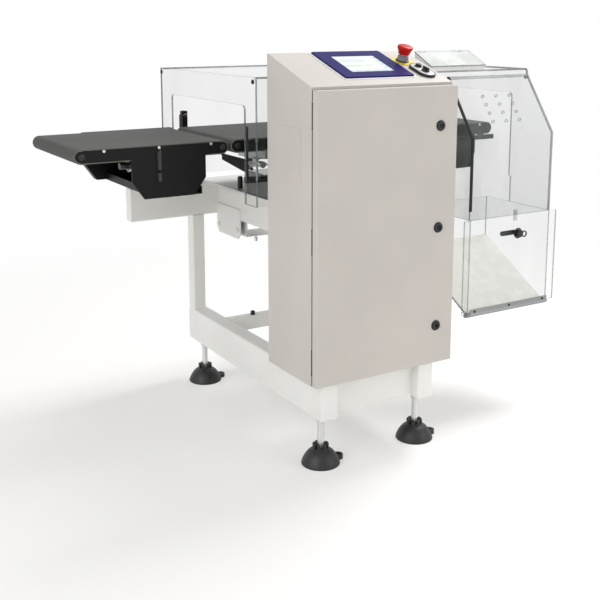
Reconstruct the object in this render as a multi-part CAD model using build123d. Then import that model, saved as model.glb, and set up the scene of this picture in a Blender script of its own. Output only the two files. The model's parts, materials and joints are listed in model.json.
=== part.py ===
from build123d import *
from math import atan2, cos, degrees, hypot, pi, radians, sin, tan
import os

# In-line checkweigher with a control cabinet, three belt conveyors, clear guards and a reject bin.
# Millimetres. X runs with the product flow, Y runs from the operator to the back, Z is up.
# While the model is laid out, X = 0 is the door's left edge, Y = 0 the door's face and Z = 0 the
# floor. The last step moves everything so that the origin is the middle of the footprint.

# Fits and gaps
FIT = 0.05                 # radial play of a shaft in its bearing hole
CLEAR = 0.3                # air between pieces that move past each other
BOLT_PLAY = 0.5            # radial play of a bolt or stem in its clearance hole
SHEET = 2.0                # folded sheet steel

# Base frame
STAND_HEIGHT = 128.0       # floor to the underside of the long tubes
BEAM_WIDTH = 50.0
BEAM_HEIGHT = 100.0
TUBE_WALL = 3.0
TUBE_CORNER = 5.0
BEAM_SPACING = 300.0       # between the centres of the two long tubes
FRAME_CENTRE_X = 202.5
BEAM_SETBACK = 20.0        # tube nose behind the door's face
FRAME_BEHIND_BELT = 97.0   # the frame's back end behind the far belt edge
CROSS_SETBACK = 25.0       # front cross tube behind the noses
CROSS_DEPTH = 50.0
CROSS_DROP = 5.0           # front cross tube is this much lower than the long ones at its underside
REAR_CROSS_SIZE = 40.0
REAR_CROSS_INSET = 156.0   # rear cross tube ahead of the rear ends
LEG_SIZE = 40.0
LEG_LENGTH = 299.0
UPPER_BEAM_HEIGHT = 100.0
UPPER_BEAM_LENGTH = 741.0
ARM_WIDTH = 50.0
ARM_SPACING = 125.0
BED_WIDTH = 270.0
BED_THICKNESS = 8.0

# Levelling feet
FOOT_RADIUS = 50.0
FOOT_RIM = 12.0
FOOT_HUB_RADIUS = 21.0
FOOT_HUB_TOP = 54.0
FOOT_SHOULDER = 32.0
FOOT_NOTCHES = 8
FOOT_LUG_REACH = 66.0
FOOT_LUG_WIDTH = 26.0
FOOT_LUG_HOLE = 5.5
STEM_RADIUS = 8.0
STEM_SEAT = 20.0
STEM_IN_BEAM = 30.0
NUT_HEIGHT = 13.0
NUT_RADIUS = 13.0
FOOT_FRONT_INSET = 43.0    # front feet behind the tube noses
FOOT_REAR_INSET = 57.0     # rear feet ahead of the tube ends

# Control cabinet
CABINET_WIDTH = 420.0
CABINET_DEPTH = 213.0
CABINET_FRONT_HEIGHT = 734.0
PANEL_RISE = 74.0          # the sloped top rises this much from front to back
FRONT_FLANGE = 18.0
DOOR_DEPTH = 20.0
DOOR_GAP = 5.0
DOOR_FLOOR_GAP = 2.0
DOOR_TOP_GAP = 7.0
DOOR_LIP = 12.0
GASKET_INSET = 6.0
GASKET_WIDTH = 7.0
HINGE_COUNT = 3
HINGE_LENGTH = 66.0
HINGE_RADIUS = 2.3
HINGE_PIN_RADIUS = 1.25
HINGE_AXIS_X = 1.0
HINGE_END_INSET = 60.0
LOCK_INSET = 54.0          # lock axis from the door's right edge
LOCK_COUNT = 3
LOCK_FROM_BOTTOM = 102.0   # lowest lock above the door's lower edge
LOCK_FROM_TOP = 100.0      # highest lock below the door's upper edge
LOCK_BEZEL_RADIUS = 12.5
LOCK_BEZEL_PROUD = 5.0
LOCK_BODY_RADIUS = 9.4
LOCK_NUT_RADIUS = 13.0
LOCK_NUT_THICKNESS = 4.0
LOCK_INSERT_RADIUS = 6.5
LOCK_SHAFT_RADIUS = 4.0
LOCK_CAM_WIDTH = 14.0
LOCK_CAM_REACH = 36.0
LOCK_CAM_THICKNESS = 3.0

# Things on the cabinet's back plate
BACK_PLATE_MARGIN = 22.0
BACK_PLATE_THICKNESS = 2.5
BACK_PLATE_STANDOFF = 6.0
BACK_PLATE_TOP_GAP = 110.0
SUPPLY_SIZE = (80.0, 118.0, 125.0)
DRIVE_SIZE = (62.0, 105.0, 150.0)
DRIVE_COUNT = 3
CONTROLLER_SIZE = (150.0, 60.0, 110.0)
RAIL_HEIGHT = 35.0
RAIL_DEPTH = 7.5
TERMINAL_COUNT = 22
TERMINAL_PITCH = 10.0
GEAR_GAP = 14.0
GLAND_COUNT = 4
GLAND_PITCH = 55.0
GLAND_RADIUS = 11.0
GLAND_HEIGHT = 60.0        # above the cabinet's floor

# Operator panel, measured along the slope from its front edge
SCREEN_UNIT_WIDTH = 210.0
SCREEN_UNIT_LENGTH = 174.0
SCREEN_UNIT_PROUD = 5.0
SCREEN_UNIT_GAP = 23.0     # between the screen unit and the oval pad
SCREEN_UNIT_V = 127.0
SCREEN_WIDTH = 131.0
SCREEN_LENGTH = 108.0
SCREEN_RECESS = 1.2
SCREEN_GLASS = 1.0
SCREEN_BODY_DEPTH = 42.0
SCREEN_BODY_MARGIN = 12.0
STOP_INSET = 56.0          # from the cabinet's right side
STOP_V = 146.0
STOP_PLATE_RADIUS = 30.0
STOP_PLATE_THICKNESS = 1.5
STOP_COLLAR_RADIUS = 14.5
STOP_COLLAR_HEIGHT = 14.0
STOP_HOLE_RADIUS = 11.2
STOP_STEM_RADIUS = 6.0
STOP_BODY_DEPTH = 38.0
STOP_TRAVEL = 5.0
STOP_HEAD_RADIUS = 20.5
STOP_HEAD_HEIGHT = 25.0
SWITCH_INSET = 44.0        # from the cabinet's right side
SWITCH_V = 72.0
SWITCH_WIDTH = 46.0
SWITCH_LENGTH = 86.0
SWITCH_THICKNESS = 7.0
SWITCH_TOP_RECESS = 0.8
SWITCH_RIM = 3.0
BUTTON_PITCH = 32.0
BUTTON_SHIFT = 4.0         # the pair sits this much up the slope from the pad's middle
BUTTON_RADIUS = 9.0
BUTTON_TRAVEL = 3.0
BUTTON_PROUD = 4.0
KNOB_RADIUS = 10.0
KNOB_HEIGHT = 12.0

# Conveyors
BELT_TOP = 808.0
BELT_WIDTH = 350.0
BELT_THICKNESS = 3.0
BELT_NEAR = 355.0          # near belt edge behind the door's face
NOSE_RADIUS = 18.0
WEIGH_OFFSET = 7.5         # the weighing belt's middle, left of the frame's middle
TRANSFER_LENGTH = 414.0
WEIGH_LENGTH = 480.0
BELT_GAP = 8.0
SIDE_PLATE = 4.0
SIDE_HALF_HEIGHT = 14.0
SHAFT_RADIUS = 6.0
BED_SHEET = 2.5
BED_FLANGE = 14.0
LOBE_START = 145.0         # drive lobe from the conveyor's upstream end
LOBE_LENGTH = 202.0
LOBE_DEPTH = 103.0
LOBE_CHAMFER_X = 32.0
LOBE_CHAMFER_Z = 44.0
TRAY_START = 203.0
TRAY_LENGTH = 134.0
TRAY_SHEET = 3.0
TRAY_LIP = 20.0
SIDE_SCREW_PITCH = 144.0
SIDE_SCREW_START = 74.0
SIDE_SCREW_DROP = 6.0
MOTOR_RADIUS = 14.0
MOTOR_BODY_LENGTH = 62.0
MOTOR_PLUG_RADIUS = 8.5
MOTOR_PLUG_LENGTH = 22.0
MOTOR_FROM_NEAR = 35.0
GEARBOX_SIZE = 46.0
GEARBOX_HEIGHT = 62.0
TOOTH_PITCH = 3.0
ROLLER_TEETH = 24
MOTOR_TEETH = 20
TIMING_BELT = 1.6
PULLEY_WIDTH = 12.0
PULLEY_GAP = 3.0           # pulley from the outside of the far side plate
DRIVE_COVER_DEPTH = 24.0
DRIVE_COVER_SHEET = 1.5
STRAP_RADIUS = 5.0
STRAP_FOOT = 40.0          # the strap's lower end above the tray
STRAP_SPLIT = 68.0         # where its two halves meet
STRAP_ABOVE_ROLLER = 6.0
OUTFEED_RAIL_HEIGHT = 14.0
OUTFEED_RAIL_DROP = 5.0
OUTFEED_RAIL_LENGTH = 257.0
OUTFEED_RAIL_THICKNESS = 8.0
RAIL_TAB_WIDTH = 24.0
RAIL_TAB_INSETS = (30.0, 60.0)

# Weighing
HOUSING_LENGTH = 247.0
HOUSING_HEIGHT = 65.0
HOUSING_WALL = 3.0
HOUSING_SIDE_INSET = 5.0
HOUSING_SETBACK = 12.0     # behind the cabinet's back
CELL_LENGTH = 180.0
CELL_WIDTH = 34.0
CELL_HEIGHT = 40.0
CELL_LIFT = 8.0
CELL_EYE_RADIUS = 11.0
CELL_FOOT = 44.0
STUD_RADIUS = 14.0
PLATFORM_PLATE = 8.0
PLATFORM_BAR = 20.0
PLATFORM_BAR_INSET = 110.0
PLATFORM_AHEAD = 40.0      # the tie plate ahead of the stud
PLATFORM_BEHIND = 60.0
PLATFORM_DROP = 6.0        # cross bars stay this far below the side plates, clear of the belt's return

# Product sensing
SENSOR_FROM_WALL = 24.0    # inside the infeed end wall
EYE_SIZE = 17.0
EYE_HEIGHT = 65.0
EYE_BEHIND_BELT = 10.5
EYE_TOP_ABOVE_BELT = 45.0
SENSOR_ROD_RADIUS = 3.5
SENSOR_ROD_AHEAD = 25.0    # ahead of the near belt edge
SENSOR_ROD_TOP = 36.0      # above the belt
SENSOR_ROD_LENGTH = 135.0
GUSSET_LENGTH = 144.0
GUSSET_TIP = 16.0
GUSSET_ROOT = 35.0
GUSSET_SHEET = 3.0
GUSSET_FLANGE = 9.0
SENSOR_HEEL = 40.0          # below the rod
GUSSET_BELOW_BELT = 53.0
CLAMP_ROD_RADIUS = 4.0
CLAMP_ROD_LENGTH = 64.0
CLAMP_ROD_BELOW_BELT = 68.0
LEVER_LENGTH = 56.0
LEVER_RADIUS = 3.4
LEVER_OFFSET_X = 22.0
LEVER_BELOW_BELT = 52.0

# Clear guards
GUARD = 5.0
GUARD_LEFT_LAP = 11.0      # the infeed end wall stands past the weighing belt's start
GUARD_PAST_BELT = 32.0     # the outfeed end wall stands past the outfeed belt's end
GUARD_OVERHANG = 36.0      # the guard's back wall behind the frame
GUARD_FLOOR = 645.0
GUARD_ROOF = 976.0
MOUTH_SIDE = 55.0          # mouth beyond the belt edges
MOUTH_HEIGHT = 93.0        # mouth above the belt
MOUTH_CORNER = 12.0
HOOD_LEFT = 582.0
HOOD_REACH = 112.0         # the hood stands this far ahead of the tunnel's front
HOOD_FLOOR = 565.0
HOOD_KNEE = 796.0
HOOD_CREST = 959.0
VENT_RADIUS = 4.5
VENT_COLUMNS = 3
VENT_ROWS = 4
VENT_PITCH_X = 50.5
VENT_PITCH_SLOPE = 27.3
VENT_FIRST_X = 100.0
VENT_FIRST_SLOPE = 49.0
LID_LEFT = 523.0
LID_WIDTH = 199.0
LID_DEPTH = 83.0
LID_FRONT = 11.0
LID_RISE = 41.0
LID_HINGE_RADIUS = 4.0
LID_HINGE_LENGTH = 30.0

# Reject bin
BIN_BOTTOM = 291.0
BIN_DEPTH = 271.0
BIN_FLOOR_RISE = 149.0
BIN_FLOOR_THICKNESS = 4.0
BIN_FLAT = 14.0
BIN_DOOR_OVERHANG = 22.0
BIN_DOOR_GAP = 1.0
BIN_RAIL_RADIUS = 5.5
BIN_PIN_RADIUS = 2.5
BIN_BAR_HEIGHT = 10.0
BIN_CHEEK = 3.7
BIN_RAIL_LIP = 12.0
BIN_LOCK_ABOVE = 220.0
BIN_LOCK_RADIUS = 11.0
RING_RADIUS = 9.6
RING_WIRE = 3.0
BIN_LOCK_FROM_LEFT = 178.0
KEEPER_WIDTH = 14.0
KEEPER_DROP = 19.0

# Reject diverter
DIVERTER_X = 555.0
DIVERTER_BEHIND_BELT = 32.0
DIVERTER_SHORT = 44.0      # the blade's tip ahead of the outfeed end wall
DIVERTER_HEIGHT = 50.0
DIVERTER_SHEET = 6.0
DIVERTER_LIFT = 4.0        # above the belt
DIVERTER_HUB_RADIUS = 11.0
DIVERTER_TIP = 10.0
ACTUATOR_RADIUS = 24.0
ACTUATOR_HEIGHT = 58.0
ACTUATOR_SHAFT_RADIUS = 6.0

# Brackets
POST_SIZE = 40.0
BRACKET_BAR = 8.0
BIN_ARM_SIZE = 40.0
BIN_PAD = 6.0
HANGER_LENGTH = 152.0
HANGER_HEIGHT = 90.0
HANGER_SHEET = 4.0
HANGER_BOLT_PITCH = 125.0
HANGER_BOLT_RISE = 25.0
CHANNEL_AHEAD = 92.0       # under bracket ahead of the upper beam
CHANNEL_LENGTH = 80.0
CHANNEL_DROP = 45.0
CHANNEL_SHEET = 3.0
CHANNEL_INSET = 8.0
KNOB_FROM_SIDE = 42.0
KNOB_FROM_END = 20.0
BIN_ARM_REACH = 140.0      # bin arm past the bin's left wall
BIN_PAD_HEIGHT = 85.0
BIN_PAD_INSET = 6.0
TRAY_ARM_REACH = 65.0      # tray brackets under the belt's far edge
BOLT_HEAD_RADIUS = 6.5
BOLT_HEAD_HEIGHT = 5.0
BUTTON_HEAD_RADIUS = 3.6
BUTTON_HEAD_HEIGHT = 2.2
PLUG_RADIUS = 7.0
PLUG_HEIGHT = 12.0
CABLE_ENTRY_HEIGHT = 35.0
PLUG_LEFT = 42.0           # left of the frame's middle
CABLE_ENTRY_INSET = 28.0   # from the bed's left edge
CABLE_ENTRY_BEHIND = 78.0  # behind the weigh cell's housing
CABLE_ENTRY_RADIUS = 7.5

# Places that follow from the sizes above
DOOR_BACK = DOOR_DEPTH
CABINET_FACE = DOOR_DEPTH + DOOR_GAP
CABINET_BACK = CABINET_FACE + CABINET_DEPTH
BEAM_TOP = STAND_HEIGHT + BEAM_HEIGHT
BELT_FAR = BELT_NEAR + BELT_WIDTH
BASE_BACK = BELT_FAR + FRAME_BEHIND_BELT
BEAM_X = (FRAME_CENTRE_X - BEAM_SPACING / 2, FRAME_CENTRE_X + BEAM_SPACING / 2)
ARM_X = (FRAME_CENTRE_X - ARM_SPACING / 2, FRAME_CENTRE_X + ARM_SPACING / 2)
UPPER_FLOOR = BEAM_TOP + LEG_LENGTH
UPPER_TOP = UPPER_FLOOR + UPPER_BEAM_HEIGHT
UPPER_FRONT = BASE_BACK - LEG_SIZE
UPPER_LEFT = FRAME_CENTRE_X - UPPER_BEAM_LENGTH / 2
UPPER_RIGHT = FRAME_CENTRE_X + UPPER_BEAM_LENGTH / 2
BED_TOP = UPPER_TOP + BED_THICKNESS
BED_LEFT = FRAME_CENTRE_X - BED_WIDTH / 2
BED_RIGHT = FRAME_CENTRE_X + BED_WIDTH / 2
PANEL_FRONT_Z = BEAM_TOP + CABINET_FRONT_HEIGHT
PANEL_ANGLE = degrees(atan2(PANEL_RISE, CABINET_DEPTH))
DOOR_BOTTOM = BEAM_TOP + DOOR_FLOOR_GAP
DOOR_TOP = PANEL_FRONT_Z - DOOR_TOP_GAP
HINGE_AXIS_Y = DOOR_BACK + DOOR_GAP / 2
LOCK_X = CABINET_WIDTH - LOCK_INSET
STOP_X = CABINET_WIDTH - STOP_INSET
SWITCH_X = CABINET_WIDTH - SWITCH_INSET
SCREEN_UNIT_X = SWITCH_X - SWITCH_WIDTH / 2 - SCREEN_UNIT_GAP - SCREEN_UNIT_WIDTH / 2
FOOT_Y = (BEAM_SETBACK + FOOT_FRONT_INSET, BASE_BACK - FOOT_REAR_INSET)
BELT_MIDDLE = BELT_NEAR + BELT_WIDTH / 2
ROLLER_Z = BELT_TOP - NOSE_RADIUS
ROLLER_RADIUS = NOSE_RADIUS - BELT_THICKNESS - CLEAR
SIDE_NEAR = BELT_NEAR - SIDE_PLATE
SIDE_FAR = BELT_FAR + SIDE_PLATE
SIDE_BOTTOM = ROLLER_Z - SIDE_HALF_HEIGHT
TRAY_FLOOR = SIDE_BOTTOM - LOBE_DEPTH
WEIGH = (FRAME_CENTRE_X - WEIGH_OFFSET - WEIGH_LENGTH / 2, FRAME_CENTRE_X - WEIGH_OFFSET + WEIGH_LENGTH / 2)
INFEED = (WEIGH[0] - BELT_GAP - TRANSFER_LENGTH, WEIGH[0] - BELT_GAP)
OUTFEED = (WEIGH[1] + BELT_GAP, WEIGH[1] + BELT_GAP + TRANSFER_LENGTH)
GUARD_FRONT = CABINET_BACK
GUARD_BACK = BASE_BACK + GUARD_OVERHANG
GUARD_LEFT = WEIGH[0] + GUARD_LEFT_LAP
GUARD_RIGHT = OUTFEED[1] + GUARD_PAST_BELT
SENSOR_X = GUARD_LEFT + SENSOR_FROM_WALL
HOOD_FRONT = GUARD_FRONT - HOOD_REACH
HOOD_SLOPE = atan2(HOOD_CREST - HOOD_KNEE, HOOD_REACH)
BIN_LEFT = HOOD_LEFT
BIN_RIGHT = GUARD_RIGHT
BIN_BACK = HOOD_FRONT + BIN_DEPTH
BIN_DOOR_BACK = HOOD_FRONT - BIN_DOOR_GAP
BIN_PIN_Y = BIN_DOOR_BACK - GUARD / 2
BIN_PIN_Z = BIN_BOTTOM - 1
BIN_BAR_FRONT = BIN_PIN_Y + BIN_RAIL_RADIUS + 1.5
BIN_LOCK_X = BIN_LEFT + BIN_LOCK_FROM_LEFT
BIN_LOCK_Z = BIN_BOTTOM + BIN_LOCK_ABOVE
MOTOR_Y = BELT_NEAR + MOTOR_FROM_NEAR
MOTOR_Z = BELT_TOP - 2 * NOSE_RADIUS - MOTOR_RADIUS - 2
PULLEY_Y = SIDE_FAR + PULLEY_GAP
ROLLER_PULLEY_RADIUS = ROLLER_TEETH * TOOTH_PITCH / (2 * pi)
MOTOR_PULLEY_RADIUS = MOTOR_TEETH * TOOTH_PITCH / (2 * pi)
DIVERTER_Y = BELT_FAR + DIVERTER_BEHIND_BELT
DIVERTER_LENGTH = GUARD_RIGHT - DIVERTER_SHORT - DIVERTER_X
HOUSING_FRONT = CABINET_BACK + HOUSING_SETBACK
HOUSING_BACK = HOUSING_FRONT + HOUSING_LENGTH
HOUSING_TOP = BED_TOP + HOUSING_HEIGHT
PLATFORM_TOP = SIDE_BOTTOM
ROD_Y = BELT_NEAR - SENSOR_ROD_AHEAD
LEVER_X = SENSOR_X + LEVER_OFFSET_X
LEVER_Z = BELT_TOP - LEVER_BELOW_BELT
CLAMP_ROD_Z = BELT_TOP - CLAMP_ROD_BELOW_BELT
LID_PIN_Y = GUARD_FRONT + LID_DEPTH
LID_PIN_Z = GUARD_ROOF + LID_FRONT + LID_RISE


# General helpers

def block(x, y, z):
    """A box from three (low, high) pairs."""
    return Pos(sum(x) / 2, sum(y) / 2, sum(z) / 2) * Box(x[1] - x[0], y[1] - y[0], z[1] - z[0])


def rod_x(x, y, z, radius):
    """A round bar along X from x[0] to x[1]."""
    return Pos(sum(x) / 2, y, z) * Rot(0, 90, 0) * Cylinder(radius, x[1] - x[0])


def rod_y(x, y, z, radius):
    """A round bar along Y from y[0] to y[1]."""
    return Pos(x, sum(y) / 2, z) * Rot(90, 0, 0) * Cylinder(radius, y[1] - y[0])


def rod_z(x, y, z, radius):
    """A round bar along Z from z[0] to z[1]."""
    return Pos(x, y, sum(z) / 2) * Cylinder(radius, z[1] - z[0])


def plate_across(points, x):
    """An outline of (y, z) points, as thick as x runs."""
    return extrude(Plane.YZ.offset(x[0]) * Polygon(*points, align=None), x[1] - x[0], dir=(1, 0, 0))


def plate_along(outline, y):
    """A sketch drawn as (x, z), as thick as y runs."""
    return extrude(Plane.XZ.offset(-y[0]) * outline, y[1] - y[0], dir=(0, 1, 0))


def tube(x, y, z, axis, corner=TUBE_CORNER, wall=TUBE_WALL):
    """A box tube along one axis, with rounded edges and open inside."""
    outer = block(x, y, z)
    outer = fillet(outer.edges().filter_by(axis), corner)
    spans = []
    for span, along in ((x, Axis.X), (y, Axis.Y), (z, Axis.Z)):
        grow = wall if along == axis else -wall
        spans.append((span[0] - grow, span[1] + grow) if along == axis else (span[0] + wall, span[1] - wall))
    return outer - block(*spans)


def capped_tube(x, y, z, axis, corner=TUBE_CORNER, wall=TUBE_WALL):
    """A box tube whose ends are welded shut."""
    outer = block(x, y, z)
    outer = fillet(outer.edges().filter_by(axis), corner)
    inner = block(*[(low + wall, high - wall) for low, high in (x, y, z)])
    return outer - inner


def dome_middle(outer, inner):
    """The middle point of the arc from outer to inner, both (radius, height), centred on the axis."""
    centre = (outer[0] ** 2 + outer[1] ** 2 - inner[0] ** 2 - inner[1] ** 2) / (2 * (outer[1] - inner[1]))
    reach = hypot(outer[0], outer[1] - centre)
    x = (outer[0] + inner[0]) / 2
    return x, centre + (reach ** 2 - x ** 2) ** 0.5


def group(parts):
    """Several separate solids as one node."""
    return Compound(children=[solid for part in parts for solid in part.solids()])


# Base frame and feet

def base_frame():
    """Two long tubes with welded noses, joined by a front and a rear cross tube."""
    parts = []
    for x in BEAM_X:
        span = (x - BEAM_WIDTH / 2, x + BEAM_WIDTH / 2)
        beam = capped_tube(span, (BEAM_SETBACK, BASE_BACK), (STAND_HEIGHT, BEAM_TOP), Axis.Y)
        nose = beam.edges().filter_by(Axis.Z).group_by(Axis.Y)[0]
        beam = fillet(nose, TUBE_CORNER)
        for y in FOOT_Y:
            beam -= rod_z(x, y, (STAND_HEIGHT - 1, STAND_HEIGHT + TUBE_WALL + 1), STEM_RADIUS + BOLT_PLAY)
        parts.append(beam)
    between = (BEAM_X[0] + BEAM_WIDTH / 2, BEAM_X[1] - BEAM_WIDTH / 2)
    front = BEAM_SETBACK + CROSS_SETBACK
    parts.append(tube(between, (front, front + CROSS_DEPTH), (STAND_HEIGHT + CROSS_DROP, BEAM_TOP), Axis.X))
    rear = BASE_BACK - REAR_CROSS_INSET
    parts.append(tube(between, (rear - REAR_CROSS_SIZE, rear), (BEAM_TOP - REAR_CROSS_SIZE, BEAM_TOP), Axis.X))
    return group(parts)


def upper_frame():
    """Rear legs, the upper beam that they carry, and two arms that reach the cabinet's back."""
    parts = []
    outer = BEAM_SPACING / 2 + BEAM_WIDTH / 2
    for side in (-1, 1):
        edge = FRAME_CENTRE_X + side * outer
        x = (edge, edge - side * LEG_SIZE)
        parts.append(tube((min(x), max(x)), (UPPER_FRONT, BASE_BACK), (BEAM_TOP, UPPER_FLOOR), Axis.Z))
    parts.append(tube((UPPER_LEFT, UPPER_RIGHT), (UPPER_FRONT, BASE_BACK), (UPPER_FLOOR, UPPER_TOP), Axis.X))
    for x in ARM_X:
        span = (x - ARM_WIDTH / 2, x + ARM_WIDTH / 2)
        parts.append(tube(span, (CABINET_BACK, UPPER_FRONT), (UPPER_FLOOR, UPPER_TOP), Axis.Y))
    return group(parts)


def bed_plate():
    """The flat bed on the arms and the upper beam."""
    bed = block((BED_LEFT, BED_RIGHT), (CABINET_BACK + CLEAR, BASE_BACK), (UPPER_TOP, BED_TOP))
    return fillet(bed.edges().filter_by(Axis.Z), 8)


def foot_pad(x, y):
    """A pad with a two-step dome, a castellated hub and a lug for a floor bolt."""
    rim, shoulder = (FOOT_RADIUS, FOOT_RIM), (FOOT_HUB_RADIUS, FOOT_SHOULDER)
    with BuildPart() as pad:
        with BuildSketch(Plane.XZ):
            with BuildLine():
                Polyline((0, 0), (FOOT_RADIUS, 0), rim, dome_middle(rim, shoulder), shoulder,
                         (FOOT_HUB_RADIUS, FOOT_HUB_TOP), (0, FOOT_HUB_TOP), (0, 0))
            make_face()
        revolve(axis=Axis.Z)
    body = pad.part
    lug = block((0, FOOT_LUG_REACH - FOOT_LUG_WIDTH / 2), (-FOOT_LUG_WIDTH / 2, FOOT_LUG_WIDTH / 2),
                (0, FOOT_RIM))
    lug += rod_z(FOOT_LUG_REACH - FOOT_LUG_WIDTH / 2, 0, (0, FOOT_RIM), FOOT_LUG_WIDTH / 2)
    body += lug
    body -= rod_z(FOOT_LUG_REACH - FOOT_LUG_WIDTH / 2, 0, (-1, FOOT_RIM + 1), FOOT_LUG_HOLE)
    body -= rod_z(0, 0, (STEM_SEAT, FOOT_HUB_TOP + 1), STEM_RADIUS + BOLT_PLAY)
    notch_depth = (FOOT_HUB_TOP - FOOT_SHOULDER) * 0.55
    for index in range(FOOT_NOTCHES):
        notch = block((FOOT_HUB_RADIUS - 4, FOOT_HUB_RADIUS + 2), (-3, 3),
                      (FOOT_HUB_TOP - notch_depth, FOOT_HUB_TOP + 1))
        body -= Rot(0, 0, 360 / FOOT_NOTCHES * (index + 0.5)) * notch
    return Pos(x, y, 0) * body


def foot_stem(x, y):
    """A threaded stem as a plain rod, with its lock nut against the tube."""
    stem = rod_z(0, 0, (STEM_SEAT, STAND_HEIGHT + STEM_IN_BEAM), STEM_RADIUS)
    stem = chamfer(stem.edges().group_by(Axis.Z)[-1], 1.5)
    nut = extrude(Plane.XY.offset(STAND_HEIGHT - NUT_HEIGHT) * RegularPolygon(NUT_RADIUS, 6), NUT_HEIGHT)
    return Pos(x, y, 0) * (stem + nut)


def feet(make):
    """Four pads or four stems, one at each foot's place."""
    return group(make(x, y) for x in BEAM_X for y in FOOT_Y)


# Cabinet

def panel_plane(x, along, lift=0.0):
    """A plane on the sloped top: x from the left edge, along the slope, and lift above the sheet."""
    slope = radians(PANEL_ANGLE)
    y = CABINET_FACE + along * cos(slope) - lift * sin(slope)
    z = PANEL_FRONT_Z + along * sin(slope) + lift * cos(slope)
    return Plane(origin=(x, y, z), x_dir=(1, 0, 0), z_dir=(0, -sin(slope), cos(slope)))


def on_panel(shape, x, along, lift=0.0):
    """Place a shape made about its own origin onto the sloped top."""
    return panel_plane(x, along, lift).location * shape


def cabinet_outline(inset):
    """The cabinet's side view, drawn in by inset from its outside."""
    slope = radians(PANEL_ANGLE)
    drop = inset / cos(slope) - inset * tan(slope)
    rise = inset / cos(slope) + inset * tan(slope)
    return [
        (CABINET_FACE + inset, BEAM_TOP + inset),
        (CABINET_BACK - inset, BEAM_TOP + inset),
        (CABINET_BACK - inset, PANEL_FRONT_Z + PANEL_RISE - rise),
        (CABINET_FACE + inset, PANEL_FRONT_Z - drop),
    ]


def stadium_on_panel(width, length, depth):
    """An upright round-ended block, standing on its origin."""
    return extrude(SlotOverall(length, width, rotation=90), depth)


def cabinet_body():
    """Folded sheet housing with a flanged front opening and cut-outs in the sloped top."""
    body = plate_across(cabinet_outline(0), (0, CABINET_WIDTH))
    upright = body.edges().filter_by(Axis.X).group_by(Axis.Z)[-1]
    body = fillet(upright, 4)
    body -= plate_across(cabinet_outline(SHEET), (SHEET, CABINET_WIDTH - SHEET))
    body -= block((FRONT_FLANGE, CABINET_WIDTH - FRONT_FLANGE), (CABINET_FACE - 1, CABINET_FACE + SHEET + 1),
                  (BEAM_TOP + FRONT_FLANGE + 4, PANEL_FRONT_Z - FRONT_FLANGE - 4))
    cut = Box(SCREEN_UNIT_WIDTH - 2 * SCREEN_BODY_MARGIN + 2 * CLEAR,
              SCREEN_UNIT_LENGTH - 2 * SCREEN_BODY_MARGIN + 2 * CLEAR, 4 * SHEET)
    body -= on_panel(cut, SCREEN_UNIT_X, SCREEN_UNIT_V)
    body -= on_panel(Cylinder(STOP_HOLE_RADIUS + CLEAR, 4 * SHEET), STOP_X, STOP_V)
    for shift in (-0.5, 0.5):
        body -= on_panel(Cylinder(BUTTON_RADIUS, 4 * SHEET), SWITCH_X, control_v(shift))
    for index in range(GLAND_COUNT):
        body -= rod_y(gland_x(index), (CABINET_BACK - SHEET - 1, CABINET_BACK + 1), BEAM_TOP + GLAND_HEIGHT,
                      GLAND_RADIUS * 0.7 + BOLT_PLAY)
    return body


def control_v(shift):
    """Place along the slope of the push button (shift 0.5) or the selector (shift -0.5)."""
    return SWITCH_V + BUTTON_SHIFT + shift * BUTTON_PITCH


def gland_x(index):
    """Where the cable glands stand along the cabinet's back."""
    return CABINET_WIDTH / 2 + (index - (GLAND_COUNT - 1) / 2) * GLAND_PITCH


def lock_z(index):
    """Height of a door lock above the floor."""
    low, high = DOOR_BOTTOM + LOCK_FROM_BOTTOM, DOOR_TOP - LOCK_FROM_TOP
    return low + (high - low) * index / (LOCK_COUNT - 1)


def cabinet_door():
    """A tray-shaped door: skin, four returns and an inner lip that presses on the gasket."""
    x, y, z = (0, CABINET_WIDTH), (0, DOOR_BACK), (DOOR_BOTTOM, DOOR_TOP)
    door = block(x, y, z)
    face = door.faces().sort_by(Axis.Y)[0]
    door = fillet(face.edges(), 1.5)
    door -= block((x[0] + SHEET, x[1] - SHEET), (SHEET, DOOR_BACK - SHEET), (z[0] + SHEET, z[1] - SHEET))
    lip = SHEET + DOOR_LIP
    door -= block((x[0] + lip, x[1] - lip), (SHEET, DOOR_BACK + 1), (z[0] + lip, z[1] - lip))
    for index in range(LOCK_COUNT):
        door -= rod_y(LOCK_X, (-1, SHEET + 1), lock_z(index), LOCK_BODY_RADIUS + BOLT_PLAY / 2)
    return door


def door_gasket():
    """A foam seal ring on the cabinet's front flange."""
    inset, width = GASKET_INSET, GASKET_WIDTH
    y = (DOOR_BACK + CLEAR, CABINET_FACE)
    ring = block((inset, CABINET_WIDTH - inset), y, (DOOR_BOTTOM + inset, DOOR_TOP - inset))
    ring = fillet(ring.edges().filter_by(Axis.Y), width)
    far = inset + width
    return ring - block((far, CABINET_WIDTH - far), (y[0] - 1, y[1] + 1), (DOOR_BOTTOM + far, DOOR_TOP - far))


def hinge_heights():
    """Middle height of each door hinge."""
    low = DOOR_BOTTOM + HINGE_END_INSET
    high = DOOR_TOP - HINGE_END_INSET
    return [low + (high - low) * index / (HINGE_COUNT - 1) for index in range(HINGE_COUNT)]


def knuckle(z, foot_y):
    """One hinge knuckle with the foot that is welded to its sheet."""
    shape = rod_z(HINGE_AXIS_X, HINGE_AXIS_Y, z, HINGE_RADIUS)
    shape += block((HINGE_AXIS_X, HINGE_AXIS_X + 3.6), foot_y, z)
    return shape


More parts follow.
